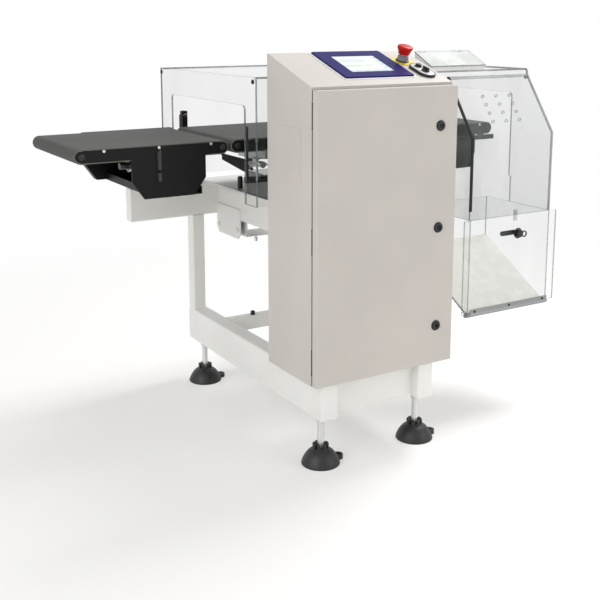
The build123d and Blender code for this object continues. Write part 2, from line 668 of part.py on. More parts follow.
def door_hinges_fixed():
    """The cabinet's outer knuckles and the pins pressed into them."""
    parts = []
    third = HINGE_LENGTH / 3
    for middle in hinge_heights():
        shape = rod_z(HINGE_AXIS_X, HINGE_AXIS_Y, (middle - HINGE_LENGTH / 2, middle + HINGE_LENGTH / 2),
                      HINGE_PIN_RADIUS)
        for low in (middle - HINGE_LENGTH / 2, middle + HINGE_LENGTH / 2 - third):
            shape += knuckle((low, low + third), (HINGE_AXIS_Y, CABINET_FACE))
        parts.append(shape)
    return group(parts)


def door_hinges_moving():
    """The door's middle knuckles, which turn on the pins."""
    parts = []
    half = HINGE_LENGTH / 6 - CLEAR
    for middle in hinge_heights():
        shape = knuckle((middle - half, middle + half), (DOOR_BACK, HINGE_AXIS_Y))
        shape -= rod_z(HINGE_AXIS_X, HINGE_AXIS_Y, (middle - HINGE_LENGTH, middle + HINGE_LENGTH),
                       HINGE_PIN_RADIUS + FIT)
        parts.append(shape)
    return group(parts)


def lock_housings():
    """Round lock housings through the door's skin, each with its nut behind."""
    parts = []
    for index in range(LOCK_COUNT):
        z = lock_z(index)
        bezel = rod_y(LOCK_X, (-LOCK_BEZEL_PROUD, 0), z, LOCK_BEZEL_RADIUS)
        bezel = chamfer(bezel.edges().group_by(Axis.Y)[0], 1.6)
        body = bezel + rod_y(LOCK_X, (0, DOOR_BACK + 2), z, LOCK_BODY_RADIUS)
        nut = rod_y(LOCK_X, (SHEET, SHEET + LOCK_NUT_THICKNESS), z, LOCK_NUT_RADIUS)
        body += nut
        body -= rod_y(LOCK_X, (-LOCK_BEZEL_PROUD - 1, DOOR_BACK + 4), z, LOCK_SHAFT_RADIUS + FIT)
        body -= rod_y(LOCK_X, (-LOCK_BEZEL_PROUD - 1, 0), z, LOCK_INSERT_RADIUS + FIT)
        parts.append(body)
    return group(parts)


def lock_cam(index):
    """A lock's turning insert, shaft and cam. The cam hangs down when unlocked."""
    z = lock_z(index)
    behind = CABINET_FACE + SHEET + 0.5
    face = CLEAR - LOCK_BEZEL_PROUD
    shape = rod_y(LOCK_X, (face, -CLEAR), z, LOCK_INSERT_RADIUS)
    shape += rod_y(LOCK_X, (-CLEAR, behind + LOCK_CAM_THICKNESS), z, LOCK_SHAFT_RADIUS)
    outline = Pos(LOCK_X, z - LOCK_CAM_REACH / 2) * SlotOverall(LOCK_CAM_REACH + LOCK_CAM_WIDTH,
                                                                LOCK_CAM_WIDTH, rotation=90)
    shape += plate_along(outline, (behind, behind + LOCK_CAM_THICKNESS))
    shape -= block((LOCK_X - 4.5, LOCK_X + 4.5), (face - 1, face + 2.2), (z - 1, z + 1))
    return shape


# Inside the cabinet

def mounting_plate():
    """The back plate on four standoffs."""
    x = (BACK_PLATE_MARGIN, CABINET_WIDTH - BACK_PLATE_MARGIN)
    z = (BEAM_TOP + BACK_PLATE_MARGIN + GLAND_HEIGHT + GLAND_RADIUS, PANEL_FRONT_Z - BACK_PLATE_TOP_GAP)
    wall = CABINET_BACK - SHEET
    face = wall - BACK_PLATE_STANDOFF
    plate = block(x, (face - BACK_PLATE_THICKNESS, face), z)
    plate = fillet(plate.edges().filter_by(Axis.Y), 8)
    for px in (x[0] + 20, x[1] - 20):
        for pz in (z[0] + 20, z[1] - 20):
            plate += rod_y(px, (face, wall), pz, 7)
    return plate


def ribbed_case(x, z, depth, back, ribs):
    """An electronics case on the back plate, with cooling slots down its front."""
    case = block(x, (back - depth, back), z)
    case = fillet(case.edges().filter_by(Axis.Z), 2)
    step = (x[1] - x[0]) / (ribs + 1)
    for index in range(ribs):
        middle = x[0] + step * (index + 1)
        case -= block((middle - 1.2, middle + 1.2), (back - depth - 1, back - depth + 5),
                      (z[1] - (z[1] - z[0]) * 0.45, z[1] - 10))
    return case


def control_gear():
    """Power supply, three drives, the weighing controller and a rail of terminals."""
    back = CABINET_BACK - SHEET - BACK_PLATE_STANDOFF - BACK_PLATE_THICKNESS
    top = PANEL_FRONT_Z - BACK_PLATE_TOP_GAP - GEAR_GAP
    left = BACK_PLATE_MARGIN + GEAR_GAP
    parts = []
    width, depth, height = CONTROLLER_SIZE
    parts.append(ribbed_case((left, left + width), (top - height, top), depth, back, 6))
    x = left + width + GEAR_GAP
    width, depth, height = SUPPLY_SIZE
    parts.append(ribbed_case((x, x + width), (top - height, top), depth, back, 5))
    row_top = top - max(CONTROLLER_SIZE[2], SUPPLY_SIZE[2]) - GEAR_GAP * 2
    width, depth, height = DRIVE_SIZE
    for index in range(DRIVE_COUNT):
        x = left + index * (width + GEAR_GAP)
        parts.append(ribbed_case((x, x + width), (row_top - height, row_top), depth, back, 4))
    rail_z = row_top - height - GEAR_GAP * 3
    rail = (left, left + TERMINAL_COUNT * TERMINAL_PITCH + 30)
    bar = block(rail, (back - RAIL_DEPTH, back), (rail_z - RAIL_HEIGHT / 2, rail_z + RAIL_HEIGHT / 2))
    for index in range(TERMINAL_COUNT):
        x = left + 15 + index * TERMINAL_PITCH
        bar += block((x + 0.4, x + TERMINAL_PITCH - 0.4), (back - RAIL_DEPTH - 38, back - RAIL_DEPTH),
                     (rail_z - 28, rail_z + 28))
    parts.append(bar)
    return group(parts)


def gland(radius, length):
    """A cable gland standing on its origin: hexagon and bevelled cap, with an empty bore."""
    shape = extrude(RegularPolygon(radius, 6), length * 0.3)
    cap = Pos(0, 0, length * 0.65) * Cylinder(radius * 0.84, length * 0.7)
    cap = chamfer(cap.edges().group_by(Axis.Z)[-1], radius * 0.2)
    shape += cap
    return shape - Pos(0, 0, length * 0.8) * Cylinder(radius * 0.4, length * 0.5)


def cable_glands():
    """Glands on the cabinet's back, the cable entry on the bed, and the plug on the rear cross tube."""
    parts = []
    for index in range(GLAND_COUNT):
        shape = gland(GLAND_RADIUS, 24)
        neck = Pos(0, 0, -SHEET / 2) * Cylinder(GLAND_RADIUS * 0.7, SHEET)
        parts.append(Pos(gland_x(index), CABINET_BACK, BEAM_TOP + GLAND_HEIGHT) * Rot(-90, 0, 0) * (shape + neck))
    entry = rod_z(BED_LEFT + CABLE_ENTRY_INSET, HOUSING_BACK + CABLE_ENTRY_BEHIND,
                  (BED_TOP, BED_TOP + CABLE_ENTRY_HEIGHT), CABLE_ENTRY_RADIUS)
    parts.append(chamfer(entry.edges().group_by(Axis.Z)[-1], 3))
    rear = BASE_BACK - REAR_CROSS_INSET - REAR_CROSS_SIZE / 2
    plug = rod_z(FRAME_CENTRE_X - PLUG_LEFT, rear, (BEAM_TOP, BEAM_TOP + PLUG_HEIGHT), PLUG_RADIUS)
    parts.append(chamfer(plug.edges().group_by(Axis.Z)[-1], 2))
    return group(parts)


# Operator panel

def hmi_bezel():
    """The touch screen's frame on the panel, with its housing below the sheet."""
    outer = extrude(RectangleRounded(SCREEN_UNIT_WIDTH, SCREEN_UNIT_LENGTH, 6), SCREEN_UNIT_PROUD)
    outer = chamfer(outer.edges().group_by(Axis.Z)[-1], 1.2)
    window = Pos(0, 0, SCREEN_UNIT_PROUD - (SCREEN_RECESS + SCREEN_GLASS) / 2)
    outer -= window * Box(SCREEN_WIDTH, SCREEN_LENGTH, SCREEN_RECESS + SCREEN_GLASS)
    housing = Box(SCREEN_UNIT_WIDTH - 2 * SCREEN_BODY_MARGIN, SCREEN_UNIT_LENGTH - 2 * SCREEN_BODY_MARGIN,
                  SCREEN_BODY_DEPTH, align=(Align.CENTER, Align.CENTER, Align.MAX))
    return on_panel(outer + housing, SCREEN_UNIT_X, SCREEN_UNIT_V)


def hmi_screen():
    """The glass in the bezel's window."""
    glass = Box(SCREEN_WIDTH, SCREEN_LENGTH, SCREEN_GLASS, align=(Align.CENTER, Align.CENTER, Align.MIN))
    return on_panel(glass, SCREEN_UNIT_X, SCREEN_UNIT_V, SCREEN_UNIT_PROUD - SCREEN_RECESS - SCREEN_GLASS)


def estop_plate():
    """The yellow disc under the emergency stop."""
    disc = extrude(Circle(STOP_PLATE_RADIUS) - Circle(STOP_HOLE_RADIUS + CLEAR), STOP_PLATE_THICKNESS)
    return on_panel(disc, STOP_X, STOP_V)


def estop_collar():
    """The stop's fixed collar and its contact body below the sheet."""
    collar = Cylinder(STOP_COLLAR_RADIUS, STOP_COLLAR_HEIGHT, align=(Align.CENTER, Align.CENTER, Align.MIN))
    collar = chamfer(collar.edges().group_by(Axis.Z)[-1], 1.5)
    neck = Cylinder(STOP_HOLE_RADIUS, STOP_BODY_DEPTH, align=(Align.CENTER, Align.CENTER, Align.MAX))
    body = collar + neck
    bore = Cylinder(STOP_STEM_RADIUS + FIT, STOP_BODY_DEPTH + STOP_COLLAR_HEIGHT,
                    align=(Align.CENTER, Align.CENTER, Align.MIN))
    body -= Pos(0, 0, -STOP_BODY_DEPTH + 12) * bore
    return on_panel(body, STOP_X, STOP_V, STOP_PLATE_THICKNESS)


def estop_plunger():
    """The stem that the mushroom head drives down."""
    low = -STOP_BODY_DEPTH + 12 + STOP_TRAVEL + CLEAR
    high = STOP_COLLAR_HEIGHT + STOP_TRAVEL + 8
    stem = Pos(0, 0, low) * Cylinder(STOP_STEM_RADIUS, high - low, align=(Align.CENTER, Align.CENTER, Align.MIN))
    return on_panel(stem, STOP_X, STOP_V, STOP_PLATE_THICKNESS)


def estop_head():
    """The mushroom head: a waisted skirt under a wide crown."""
    r, h = STOP_HEAD_RADIUS, STOP_HEAD_HEIGHT
    crown = (r * 0.93, h * 0.84)
    with BuildPart() as head:
        with BuildSketch(Plane.XZ):
            with BuildLine():
                Polyline((0, 0), (r * 0.72, 0), (r * 0.8, h * 0.3), (r * 0.95, h * 0.55), (r, h * 0.7),
                         crown, dome_middle(crown, (0, h)), (0, h), (0, 0))
            make_face()
        revolve(axis=Axis.Z)
    body = head.part
    body -= Cylinder(STOP_STEM_RADIUS + FIT, 8 + CLEAR, align=(Align.CENTER, Align.CENTER, Align.MIN))
    return on_panel(body, STOP_X, STOP_V, STOP_PLATE_THICKNESS + STOP_COLLAR_HEIGHT + STOP_TRAVEL)


def switch_plate():
    """The raised oval pad with two round wells for the button and the selector."""
    pad = stadium_on_panel(SWITCH_WIDTH, SWITCH_LENGTH, SWITCH_THICKNESS)
    pad -= Pos(0, 0, SWITCH_THICKNESS - SWITCH_TOP_RECESS) * stadium_on_panel(
        SWITCH_WIDTH - 2 * SWITCH_RIM, SWITCH_LENGTH - 2 * SWITCH_RIM, SWITCH_TOP_RECESS + 1)
    for shift in (-0.5, 0.5):
        pad -= Pos(0, control_v(shift) - SWITCH_V, 0) * Cylinder(BUTTON_RADIUS - 1, 4 * SWITCH_THICKNESS)
    return on_panel(pad, SWITCH_X, SWITCH_V)


def panel_control(along_shift, cap):
    """A control in the oval pad: its cap above and a round shank through the pad and the sheet."""
    shank = Pos(0, 0, -14) * Cylinder(BUTTON_RADIUS - 1 - CLEAR, 14 + SWITCH_THICKNESS,
                                      align=(Align.CENTER, Align.CENTER, Align.MIN))
    return on_panel(cap + shank, SWITCH_X, control_v(along_shift))


def push_button():
    """The round push button, held off the pad by its travel."""
    cap = Pos(0, 0, SWITCH_THICKNESS) * Cylinder(BUTTON_RADIUS - 1 - CLEAR, BUTTON_TRAVEL + BUTTON_PROUD,
                                                 align=(Align.CENTER, Align.CENTER, Align.MIN))
    cap = chamfer(cap.edges().group_by(Axis.Z)[-1], 1)
    return panel_control(0.5, cap)


def selector_knob():
    """The turning selector with a grip bar across its top."""
    base = Pos(0, 0, SWITCH_THICKNESS - SWITCH_TOP_RECESS + CLEAR)
    cap = base * Cylinder(KNOB_RADIUS, KNOB_HEIGHT * 0.45, align=(Align.CENTER, Align.CENTER, Align.MIN))
    grip = base * Box(6, 2 * KNOB_RADIUS - 1, KNOB_HEIGHT, align=(Align.CENTER, Align.CENTER, Align.MIN))
    grip = chamfer(grip.edges().group_by(Axis.Z)[-1], 1.2)
    return panel_control(-0.5, cap + grip)


# Conveyors

def plate_outline(span, lobe):
    """A side plate seen along Y: a round-ended strip, with the drive lobe below where there is one."""
    length = span[1] - span[0] - 2 * (NOSE_RADIUS - SIDE_HALF_HEIGHT)
    strip = Pos(sum(span) / 2, ROLLER_Z) * SlotOverall(length, 2 * SIDE_HALF_HEIGHT)
    if not lobe:
        return strip
    x0 = span[0] + LOBE_START
    x1 = x0 + LOBE_LENGTH
    knee = TRAY_FLOOR + LOBE_CHAMFER_Z
    return strip + Polygon((x0, ROLLER_Z), (x0, knee), (x0 + LOBE_CHAMFER_X, TRAY_FLOOR),
                           (x1 - LOBE_CHAMFER_X, TRAY_FLOOR), (x1, knee), (x1, ROLLER_Z), align=None)


def side_screw_x(span):
    """Places of the bright screws along a side plate."""
    first = span[0] + SIDE_SCREW_START
    count = int((span[1] - span[0] - SIDE_SCREW_START) // SIDE_SCREW_PITCH) + 1
    return [first + index * SIDE_SCREW_PITCH for index in range(count)]


def roller_x(span):
    """Centres of a conveyor's two rollers: idler upstream, drive downstream."""
    return span[0] + NOSE_RADIUS, span[1] - NOSE_RADIUS


def motor_shaft_x(span):
    """The gear motor's output shaft along the conveyor."""
    return span[0] + TRAY_START + TRAY_LENGTH / 2


def motor_shaft_z():
    """Height of the gear motor's output shaft."""
    return TRAY_FLOOR + TRAY_SHEET + GEARBOX_HEIGHT / 2


def conveyor_frame(span, lobe):
    """Two side plates and the folded slider bed between them."""
    parts = []
    outline = plate_outline(span, lobe)
    for y in ((SIDE_NEAR, BELT_NEAR), (BELT_FAR, SIDE_FAR)):
        side = plate_along(outline, y)
        for x in roller_x(span):
            side -= rod_y(x, (y[0] - 1, y[1] + 1), ROLLER_Z, SHAFT_RADIUS + FIT)
        if lobe and y[0] > BELT_NEAR:
            side -= rod_y(motor_shaft_x(span), (y[0] - 1, y[1] + 1), motor_shaft_z(), SHAFT_RADIUS + FIT)
        parts.append(side)
    top = BELT_TOP - BELT_THICKNESS
    x = (span[0] + 2 * NOSE_RADIUS, span[1] - 2 * NOSE_RADIUS)
    bed = block(x, (BELT_NEAR, BELT_FAR), (top - BED_SHEET, top))
    for y in ((BELT_NEAR, BELT_NEAR + BED_SHEET), (BELT_FAR - BED_SHEET, BELT_FAR)):
        bed += block(x, y, (top - BED_FLANGE, top))
    parts.append(bed)
    return parts


def conveyor_frames():
    """The three conveyor frames, and the rail under the outfeed's near side."""
    parts = conveyor_frame(INFEED, True) + conveyor_frame(WEIGH, False) + conveyor_frame(OUTFEED, True)
    rail_top = SIDE_BOTTOM - OUTFEED_RAIL_DROP
    x = (OUTFEED[1] - OUTFEED_RAIL_LENGTH, OUTFEED[1])
    rail = block(x, (SIDE_NEAR - OUTFEED_RAIL_THICKNESS, SIDE_NEAR), (rail_top - OUTFEED_RAIL_HEIGHT, rail_top))
    rail = chamfer(rail.edges().filter_by(Axis.X), 1.5)
    for near in (x[0] + RAIL_TAB_INSETS[0], x[1] - RAIL_TAB_INSETS[1]):
        rail += block((near, near + RAIL_TAB_WIDTH), (SIDE_NEAR - 3, SIDE_NEAR), (rail_top - 4, ROLLER_Z - 4))
    parts.append(rail)
    return group(parts)


def conveyor_belt(span):
    """An endless flat belt round two noses."""
    length = span[1] - span[0]
    inner = length - 2 * BELT_THICKNESS
    outline = SlotOverall(length, 2 * NOSE_RADIUS) - SlotOverall(inner, 2 * (NOSE_RADIUS - BELT_THICKNESS))
    return plate_along(Pos(sum(span) / 2, ROLLER_Z) * outline, (BELT_NEAR, BELT_FAR))


def roller(x, pulley):
    """A roller with a waist-free face, stub shafts, and a toothed pulley where it is driven."""
    face = (BELT_NEAR + CLEAR + 0.7, BELT_FAR - CLEAR - 0.7)
    shape = rod_y(x, face, ROLLER_Z, ROLLER_RADIUS)
    end = PULLEY_Y + PULLEY_WIDTH + 2 if pulley else SIDE_FAR
    shape += rod_y(x, (SIDE_NEAR + 1, end), ROLLER_Z, SHAFT_RADIUS)
    if pulley:
        shape += toothed_pulley(x, ROLLER_Z, ROLLER_TEETH, ROLLER_PULLEY_RADIUS)
    return shape


def toothed_pulley(x, z, teeth, radius):
    """A timing pulley between two flanges, with its tooth spaces cut."""
    outer = radius - 0.4
    wheel = Circle(outer)
    space = Pos(outer, 0) * Rectangle(TOOTH_PITCH * 0.54, TOOTH_PITCH * 0.5)
    for index in range(teeth):
        wheel -= Rot(0, 0, 360 / teeth * index) * space
    body = plate_along(Pos(x, z) * wheel, (PULLEY_Y + 1.2, PULLEY_Y + PULLEY_WIDTH - 1.2))
    for y in ((PULLEY_Y, PULLEY_Y + 1.2), (PULLEY_Y + PULLEY_WIDTH - 1.2, PULLEY_Y + PULLEY_WIDTH)):
        body += rod_y(x, y, z, radius + 2)
    return body


def motor_pulley(span):
    """The cross shaft out of the gearbox with the small pulley at its far end."""
    x, z = motor_shaft_x(span), motor_shaft_z()
    start = MOTOR_Y + GEARBOX_SIZE / 2 - 8
    shape = rod_y(x, (start, PULLEY_Y + PULLEY_WIDTH + 2), z, SHAFT_RADIUS)
    return shape + toothed_pulley(x, z, MOTOR_TEETH, MOTOR_PULLEY_RADIUS)


def timing_belt(span):
    """The closed timing belt round both pulleys, clear of their teeth."""
    big = (roller_x(span)[1], ROLLER_Z, ROLLER_PULLEY_RADIUS + CLEAR)
    small = (motor_shaft_x(span), motor_shaft_z(), MOTOR_PULLEY_RADIUS + CLEAR)
    outline = pulley_wrap(big, small, TIMING_BELT) - pulley_wrap(big, small, 0)
    return plate_along(outline, (PULLEY_Y + 1.2 + CLEAR, PULLEY_Y + PULLEY_WIDTH - 1.2 - CLEAR))


def pulley_wrap(big, small, grow):
    """The outline of a tight loop round two circles given as (x, z, radius)."""
    circles = [Pos(x, z) * Circle(radius + grow) for x, z, radius in (big, small)]
    return make_hull(circles[0].edges() + circles[1].edges())


def motor_tray(span):
    """The folded tray between the drive lobes."""
    x0 = span[0] + TRAY_START
    x = (x0, x0 + TRAY_LENGTH)
    y = (BELT_NEAR, BELT_FAR)
    tray = block(x, y, (TRAY_FLOOR, TRAY_FLOOR + TRAY_SHEET))
    for edge in ((x[0], x[0] + TRAY_SHEET), (x[1] - TRAY_SHEET, x[1])):
        tray += block(edge, y, (TRAY_FLOOR, TRAY_FLOOR + TRAY_LIP))
    return tray


def drive_cover(span):
    """The far-side cover over the timing belt, open towards the side plate."""
    x0 = span[0] + LOBE_START
    x1 = span[1] - 2
    knee = TRAY_FLOOR + LOBE_CHAMFER_Z
    top = BELT_TOP - 1
    turn = x0 + LOBE_LENGTH
    points = [(x0, top), (x0, knee), (x0 + LOBE_CHAMFER_X, TRAY_FLOOR), (turn - LOBE_CHAMFER_X, TRAY_FLOOR),
              (turn, knee), (x1, SIDE_BOTTOM), (x1, top)]
    outer = Polygon(*points, align=None)
    inner = offset(outer, -DRIVE_COVER_SHEET, kind=Kind.INTERSECTION)
    back = SIDE_FAR + DRIVE_COVER_DEPTH
    return plate_along(outer, (SIDE_FAR, back)) - plate_along(inner, (SIDE_FAR - 1, back - DRIVE_COVER_SHEET))


def lobe_strap(span):
    """The raised two-part clamp strap on the near lobe, below a side screw."""
    x = side_screw_x(span)[1]
    high, split, low = ROLLER_Z + STRAP_ABOVE_ROLLER, TRAY_FLOOR + STRAP_SPLIT, TRAY_FLOOR + STRAP_FOOT
    parts = []
    for z in ((split + 1, high), (low, split - 1)):
        outline = Pos(x, sum(z) / 2) * SlotOverall(z[1] - z[0], 3 * STRAP_RADIUS, rotation=90)
        strap = plate_along(outline, (SIDE_NEAR - STRAP_RADIUS, SIDE_NEAR))
        parts.append(chamfer(strap.edges().group_by(Axis.Y)[0], STRAP_RADIUS * 0.6))
    return parts


def drive_covers():
    """Motor trays and far-side drive covers of both transfer conveyors, and the infeed's clamp strap."""
    parts = []
    for span in (INFEED, OUTFEED):
        parts += [motor_tray(span), drive_cover(span)]
    return group(parts + lobe_strap(INFEED))


def gearmotor(span):
    """A right-angle gear motor on the tray: gearbox, slim motor along X and its connector."""
    x, z = motor_shaft_x(span), motor_shaft_z()
    floor = TRAY_FLOOR + TRAY_SHEET
    half = GEARBOX_SIZE / 2
    box = block((x - half, x + half), (MOTOR_Y - half, MOTOR_Y + half), (floor, floor + GEARBOX_HEIGHT))
    box = fillet(box.edges().filter_by(Axis.Z), 4)
    box += rod_y(x, (MOTOR_Y + half, MOTOR_Y + half + 6), z, 16)
    box += block((x - half - 8, x + half + 8), (MOTOR_Y - 14, MOTOR_Y + 14), (floor, floor + 5))
    motor_end = span[0] + LOBE_START + 4
    riser = block((x - half - 20, x - half + 2), (MOTOR_Y - MOTOR_RADIUS, MOTOR_Y + MOTOR_RADIUS),
                  (MOTOR_Z - 30, MOTOR_Z + 6))
    box += riser
    box += rod_x((motor_end, x - half), MOTOR_Y, MOTOR_Z, MOTOR_RADIUS)
    box += rod_x((motor_end - MOTOR_PLUG_LENGTH, motor_end), MOTOR_Y, MOTOR_Z, MOTOR_PLUG_RADIUS)
    bore = rod_y(x, (MOTOR_Y + half - 8, MOTOR_Y + half + 7), z, SHAFT_RADIUS + FIT)
    return box - bore


# Weighing

def weigh_housing():
    """The weigh cell's housing on the bed, open below and at the stud's hole."""
    x = (BED_LEFT + HOUSING_SIDE_INSET, BED_RIGHT - HOUSING_SIDE_INSET)
    y = (HOUSING_FRONT, HOUSING_BACK)
    shell = block(x, y, (BED_TOP, HOUSING_TOP))
    shell = fillet(shell.edges().filter_by(Axis.Z), 8)
    shell = fillet(shell.edges().group_by(Axis.Z)[-1], 3)
    wall = HOUSING_WALL
    shell -= block((x[0] + wall, x[1] - wall), (y[0] + wall, y[1] - wall), (BED_TOP - 1, HOUSING_TOP - wall))
    return shell - rod_z(FRAME_CENTRE_X, stud_y(), (BED_TOP, HOUSING_TOP + 1), STUD_RADIUS + 2)


def stud_y():
    """Where the load cell's stud stands."""
    return (HOUSING_FRONT + HOUSING_BACK) / 2 + CELL_LENGTH / 2 - STUD_RADIUS - 3


def load_cell():
    """A bar load cell with its double eye, on a foot block, with the stud that carries the platform."""
    middle = (HOUSING_FRONT + HOUSING_BACK) / 2
    x = (FRAME_CENTRE_X - CELL_WIDTH / 2, FRAME_CENTRE_X + CELL_WIDTH / 2)
    y = (middle - CELL_LENGTH / 2, middle + CELL_LENGTH / 2)
    z = (BED_TOP + CELL_LIFT, BED_TOP + CELL_LIFT + CELL_HEIGHT)
    bar = block(x, y, z)
    for shift in (-1, 1):
        eye = rod_x((x[0] - 1, x[1] + 1), middle + shift * CELL_EYE_RADIUS * 1.2, sum(z) / 2, CELL_EYE_RADIUS)
        bar -= eye
    bar += block(x, (y[0], y[0] + CELL_FOOT), (BED_TOP, z[0]))
    top = PLATFORM_TOP - PLATFORM_DROP - PLATFORM_BAR - PLATFORM_PLATE
    return bar + rod_z(FRAME_CENTRE_X, stud_y(), (z[1], top), STUD_RADIUS)


def weigh_platform():
    """The cross bars under the weighing conveyor and the plate that ties them to the stud."""
    bar_top = PLATFORM_TOP - PLATFORM_DROP
    bar_floor = bar_top - PLATFORM_BAR
    bars_x = (WEIGH[0] + PLATFORM_BAR_INSET, WEIGH[1] - PLATFORM_BAR_INSET)
    frame = block((bars_x[0] - PLATFORM_BAR / 2, bars_x[1] + PLATFORM_BAR / 2),
                  (stud_y() - PLATFORM_AHEAD, stud_y() + PLATFORM_BEHIND),
                  (bar_floor - PLATFORM_PLATE, bar_floor))
    for x in bars_x:
        span = (x - PLATFORM_BAR / 2, x + PLATFORM_BAR / 2)
        frame += block(span, (SIDE_NEAR, SIDE_FAR), (bar_floor, bar_top))
        for y in ((SIDE_NEAR, BELT_NEAR), (BELT_FAR, SIDE_FAR)):
            frame += block(span, y, (bar_top, PLATFORM_TOP))
    return frame


# Product sensing

def sensor_stand():
    """Photo-eye on its bracket at the back; thin rod with the gusset arm at the front."""
    eye_y = SIDE_FAR + EYE_BEHIND_BELT
    eye_top = BELT_TOP + EYE_TOP_ABOVE_BELT
    x = (SENSOR_X - EYE_SIZE / 2, SENSOR_X + EYE_SIZE / 2)
    eye = block(x, (eye_y, eye_y + EYE_SIZE), (eye_top - EYE_HEIGHT, eye_top))
    eye = fillet(eye.edges().filter_by(Axis.Z) + eye.edges().group_by(Axis.Z)[-1], 1.5)
    eye += rod_y(SENSOR_X, (eye_y - 2, eye_y), BELT_TOP - 6, 4)
    post_y = eye_y + EYE_SIZE
    post = block(x, (post_y, post_y + 6), (UPPER_TOP, eye_top - 12))
    post += block(x, (post_y, BASE_BACK - 22), (UPPER_TOP, UPPER_TOP + 6))
    rod_top = BELT_TOP + SENSOR_ROD_TOP
    rod_low = rod_top - SENSOR_ROD_LENGTH
    rod = rod_z(SENSOR_X, ROD_Y, (rod_low, rod_top), SENSOR_ROD_RADIUS)
    rod = chamfer(rod.edges().group_by(Axis.Z)[-1], 2.5)
    foot = block((SENSOR_X - 6, BED_LEFT + HOUSING_SIDE_INSET), (ROD_Y - 8, ROD_Y + 8), (rod_low - 15, rod_low))
    heel = block((BED_LEFT + HOUSING_SIDE_INSET - 8, BED_LEFT + HOUSING_SIDE_INSET), (ROD_Y - 8, ROD_Y + 8),
                 (rod_low - SENSOR_HEEL, rod_low))
    top = BELT_TOP - GUSSET_BELOW_BELT
    root = ROD_Y + SENSOR_ROD_RADIUS - 1
    tip = root + GUSSET_LENGTH
    web = plate_across([(root, top), (tip, top), (tip, top - GUSSET_TIP), (root, top - GUSSET_ROOT)],
                       (SENSOR_X - GUSSET_SHEET / 2, SENSOR_X + GUSSET_SHEET / 2))
    flange = block((SENSOR_X - GUSSET_FLANGE / 2, SENSOR_X + GUSSET_FLANGE / 2), (root, tip),
                   (top - GUSSET_SHEET, top))
    return group([eye + post, rod + foot + heel + web + flange])


def sensor_clamps():
    """Bright cross clamps beside the thin rod, on the short rod that they hold."""
    x = (SENSOR_X + SENSOR_ROD_RADIUS, SENSOR_X + SENSOR_ROD_RADIUS + CLAMP_ROD_LENGTH)
    clamps = rod_x(x, ROD_Y, CLAMP_ROD_Z, CLAMP_ROD_RADIUS)
    for px, pz, radius, reach in ((x[0] + 8.2, CLAMP_ROD_Z + 13, 7, 7), (x[0] + 7, CLAMP_ROD_Z - 9, 5, 7),
                                  (x[0] + 40, CLAMP_ROD_Z, 9, 7.5)):
        clamps += rod_y(px, (ROD_Y - reach, ROD_Y + reach), pz, radius)
        clamps += block((px - 4, px + 4), (ROD_Y - 5, ROD_Y + 5), (min(pz, CLAMP_ROD_Z), max(pz, CLAMP_ROD_Z) + 1))
    clamps += rod_y(LEVER_X, (ROD_Y - 4, ROD_Y + 6), LEVER_Z, 5)
    clamps += block((LEVER_X - 3, LEVER_X + 3), (ROD_Y - 3, ROD_Y + 3), (CLAMP_ROD_Z, LEVER_Z))
    return clamps - rod_y(LEVER_X, (ROD_Y - 5, ROD_Y + 2), LEVER_Z, 2.5 + FIT)


def clamp_lever():
    """The bright clamp lever, hanging from its pivot."""
    y = ROD_Y - 12
    pivot = rod_y(LEVER_X, (y - 3, ROD_Y + 1.5), LEVER_Z, 2.5)
    arm = rod_z(LEVER_X, y, (LEVER_Z - LEVER_LENGTH, LEVER_Z), LEVER_RADIUS)
    arm = chamfer(arm.edges().group_by(Axis.Z)[0], 1.5)
    eye = rod_y(LEVER_X, (y - 3.8, y + 3.8), LEVER_Z, 5)
    return pivot + arm + eye


# Clear guards

def end_panel(x):
    """A clear end wall: an arch open towards the floor, round the conveyor."""
    y = (GUARD_FRONT, GUARD_BACK)
    panel = block(x, y, (GUARD_FLOOR, GUARD_ROOF))
    corner = panel.edges().filter_by(Axis.X).group_by(Axis.Z)[-1].sort_by(Axis.Y)[0]
    panel = fillet(corner, MOUTH_CORNER)
    mouth = block((x[0] - 1, x[1] + 1), (BELT_NEAR - MOUTH_SIDE, BELT_FAR + MOUTH_SIDE),
                  (GUARD_FLOOR - MOUTH_CORNER, BELT_TOP + MOUTH_HEIGHT))
    mouth = fillet(mouth.edges().filter_by(Axis.X).group_by(Axis.Z)[-1], MOUTH_CORNER)
    return panel - mouth


def guard_ends():
    """The infeed and outfeed end walls. The outfeed wall also closes the hood's right side."""
    left = end_panel((GUARD_LEFT, GUARD_LEFT + GUARD))
    x = (GUARD_RIGHT - GUARD, GUARD_RIGHT)
    right = end_panel(x)
    wing = [(HOOD_FRONT + GUARD, HOOD_FLOOR), (GUARD_FRONT + MOUTH_SIDE, HOOD_FLOOR),
            (GUARD_FRONT + MOUTH_SIDE, HOOD_CREST), (GUARD_FRONT, HOOD_CREST), *hood_profile(GUARD)[:0:-1]]
    return group([left, right + plate_across(wing, x)])


def guard_panels():
    """Top, front and back walls of the tunnel."""
    x = (GUARD_LEFT + GUARD, GUARD_RIGHT - GUARD)
    y = (GUARD_FRONT, GUARD_BACK)
    top = block(x, (y[0] + GUARD, y[1] - GUARD), (GUARD_ROOF - GUARD, GUARD_ROOF))
    outline = Polygon((x[0], GUARD_FLOOR), (HOOD_LEFT, GUARD_FLOOR), (HOOD_LEFT, HOOD_CREST),
                      (x[1], HOOD_CREST), (x[1], GUARD_ROOF), (x[0], GUARD_ROOF), align=None)
    front = plate_along(outline, (y[0], y[0] + GUARD))
    back = block(x, (y[1] - GUARD, y[1]), (GUARD_FLOOR, GUARD_ROOF))
    return group([top, front, back])


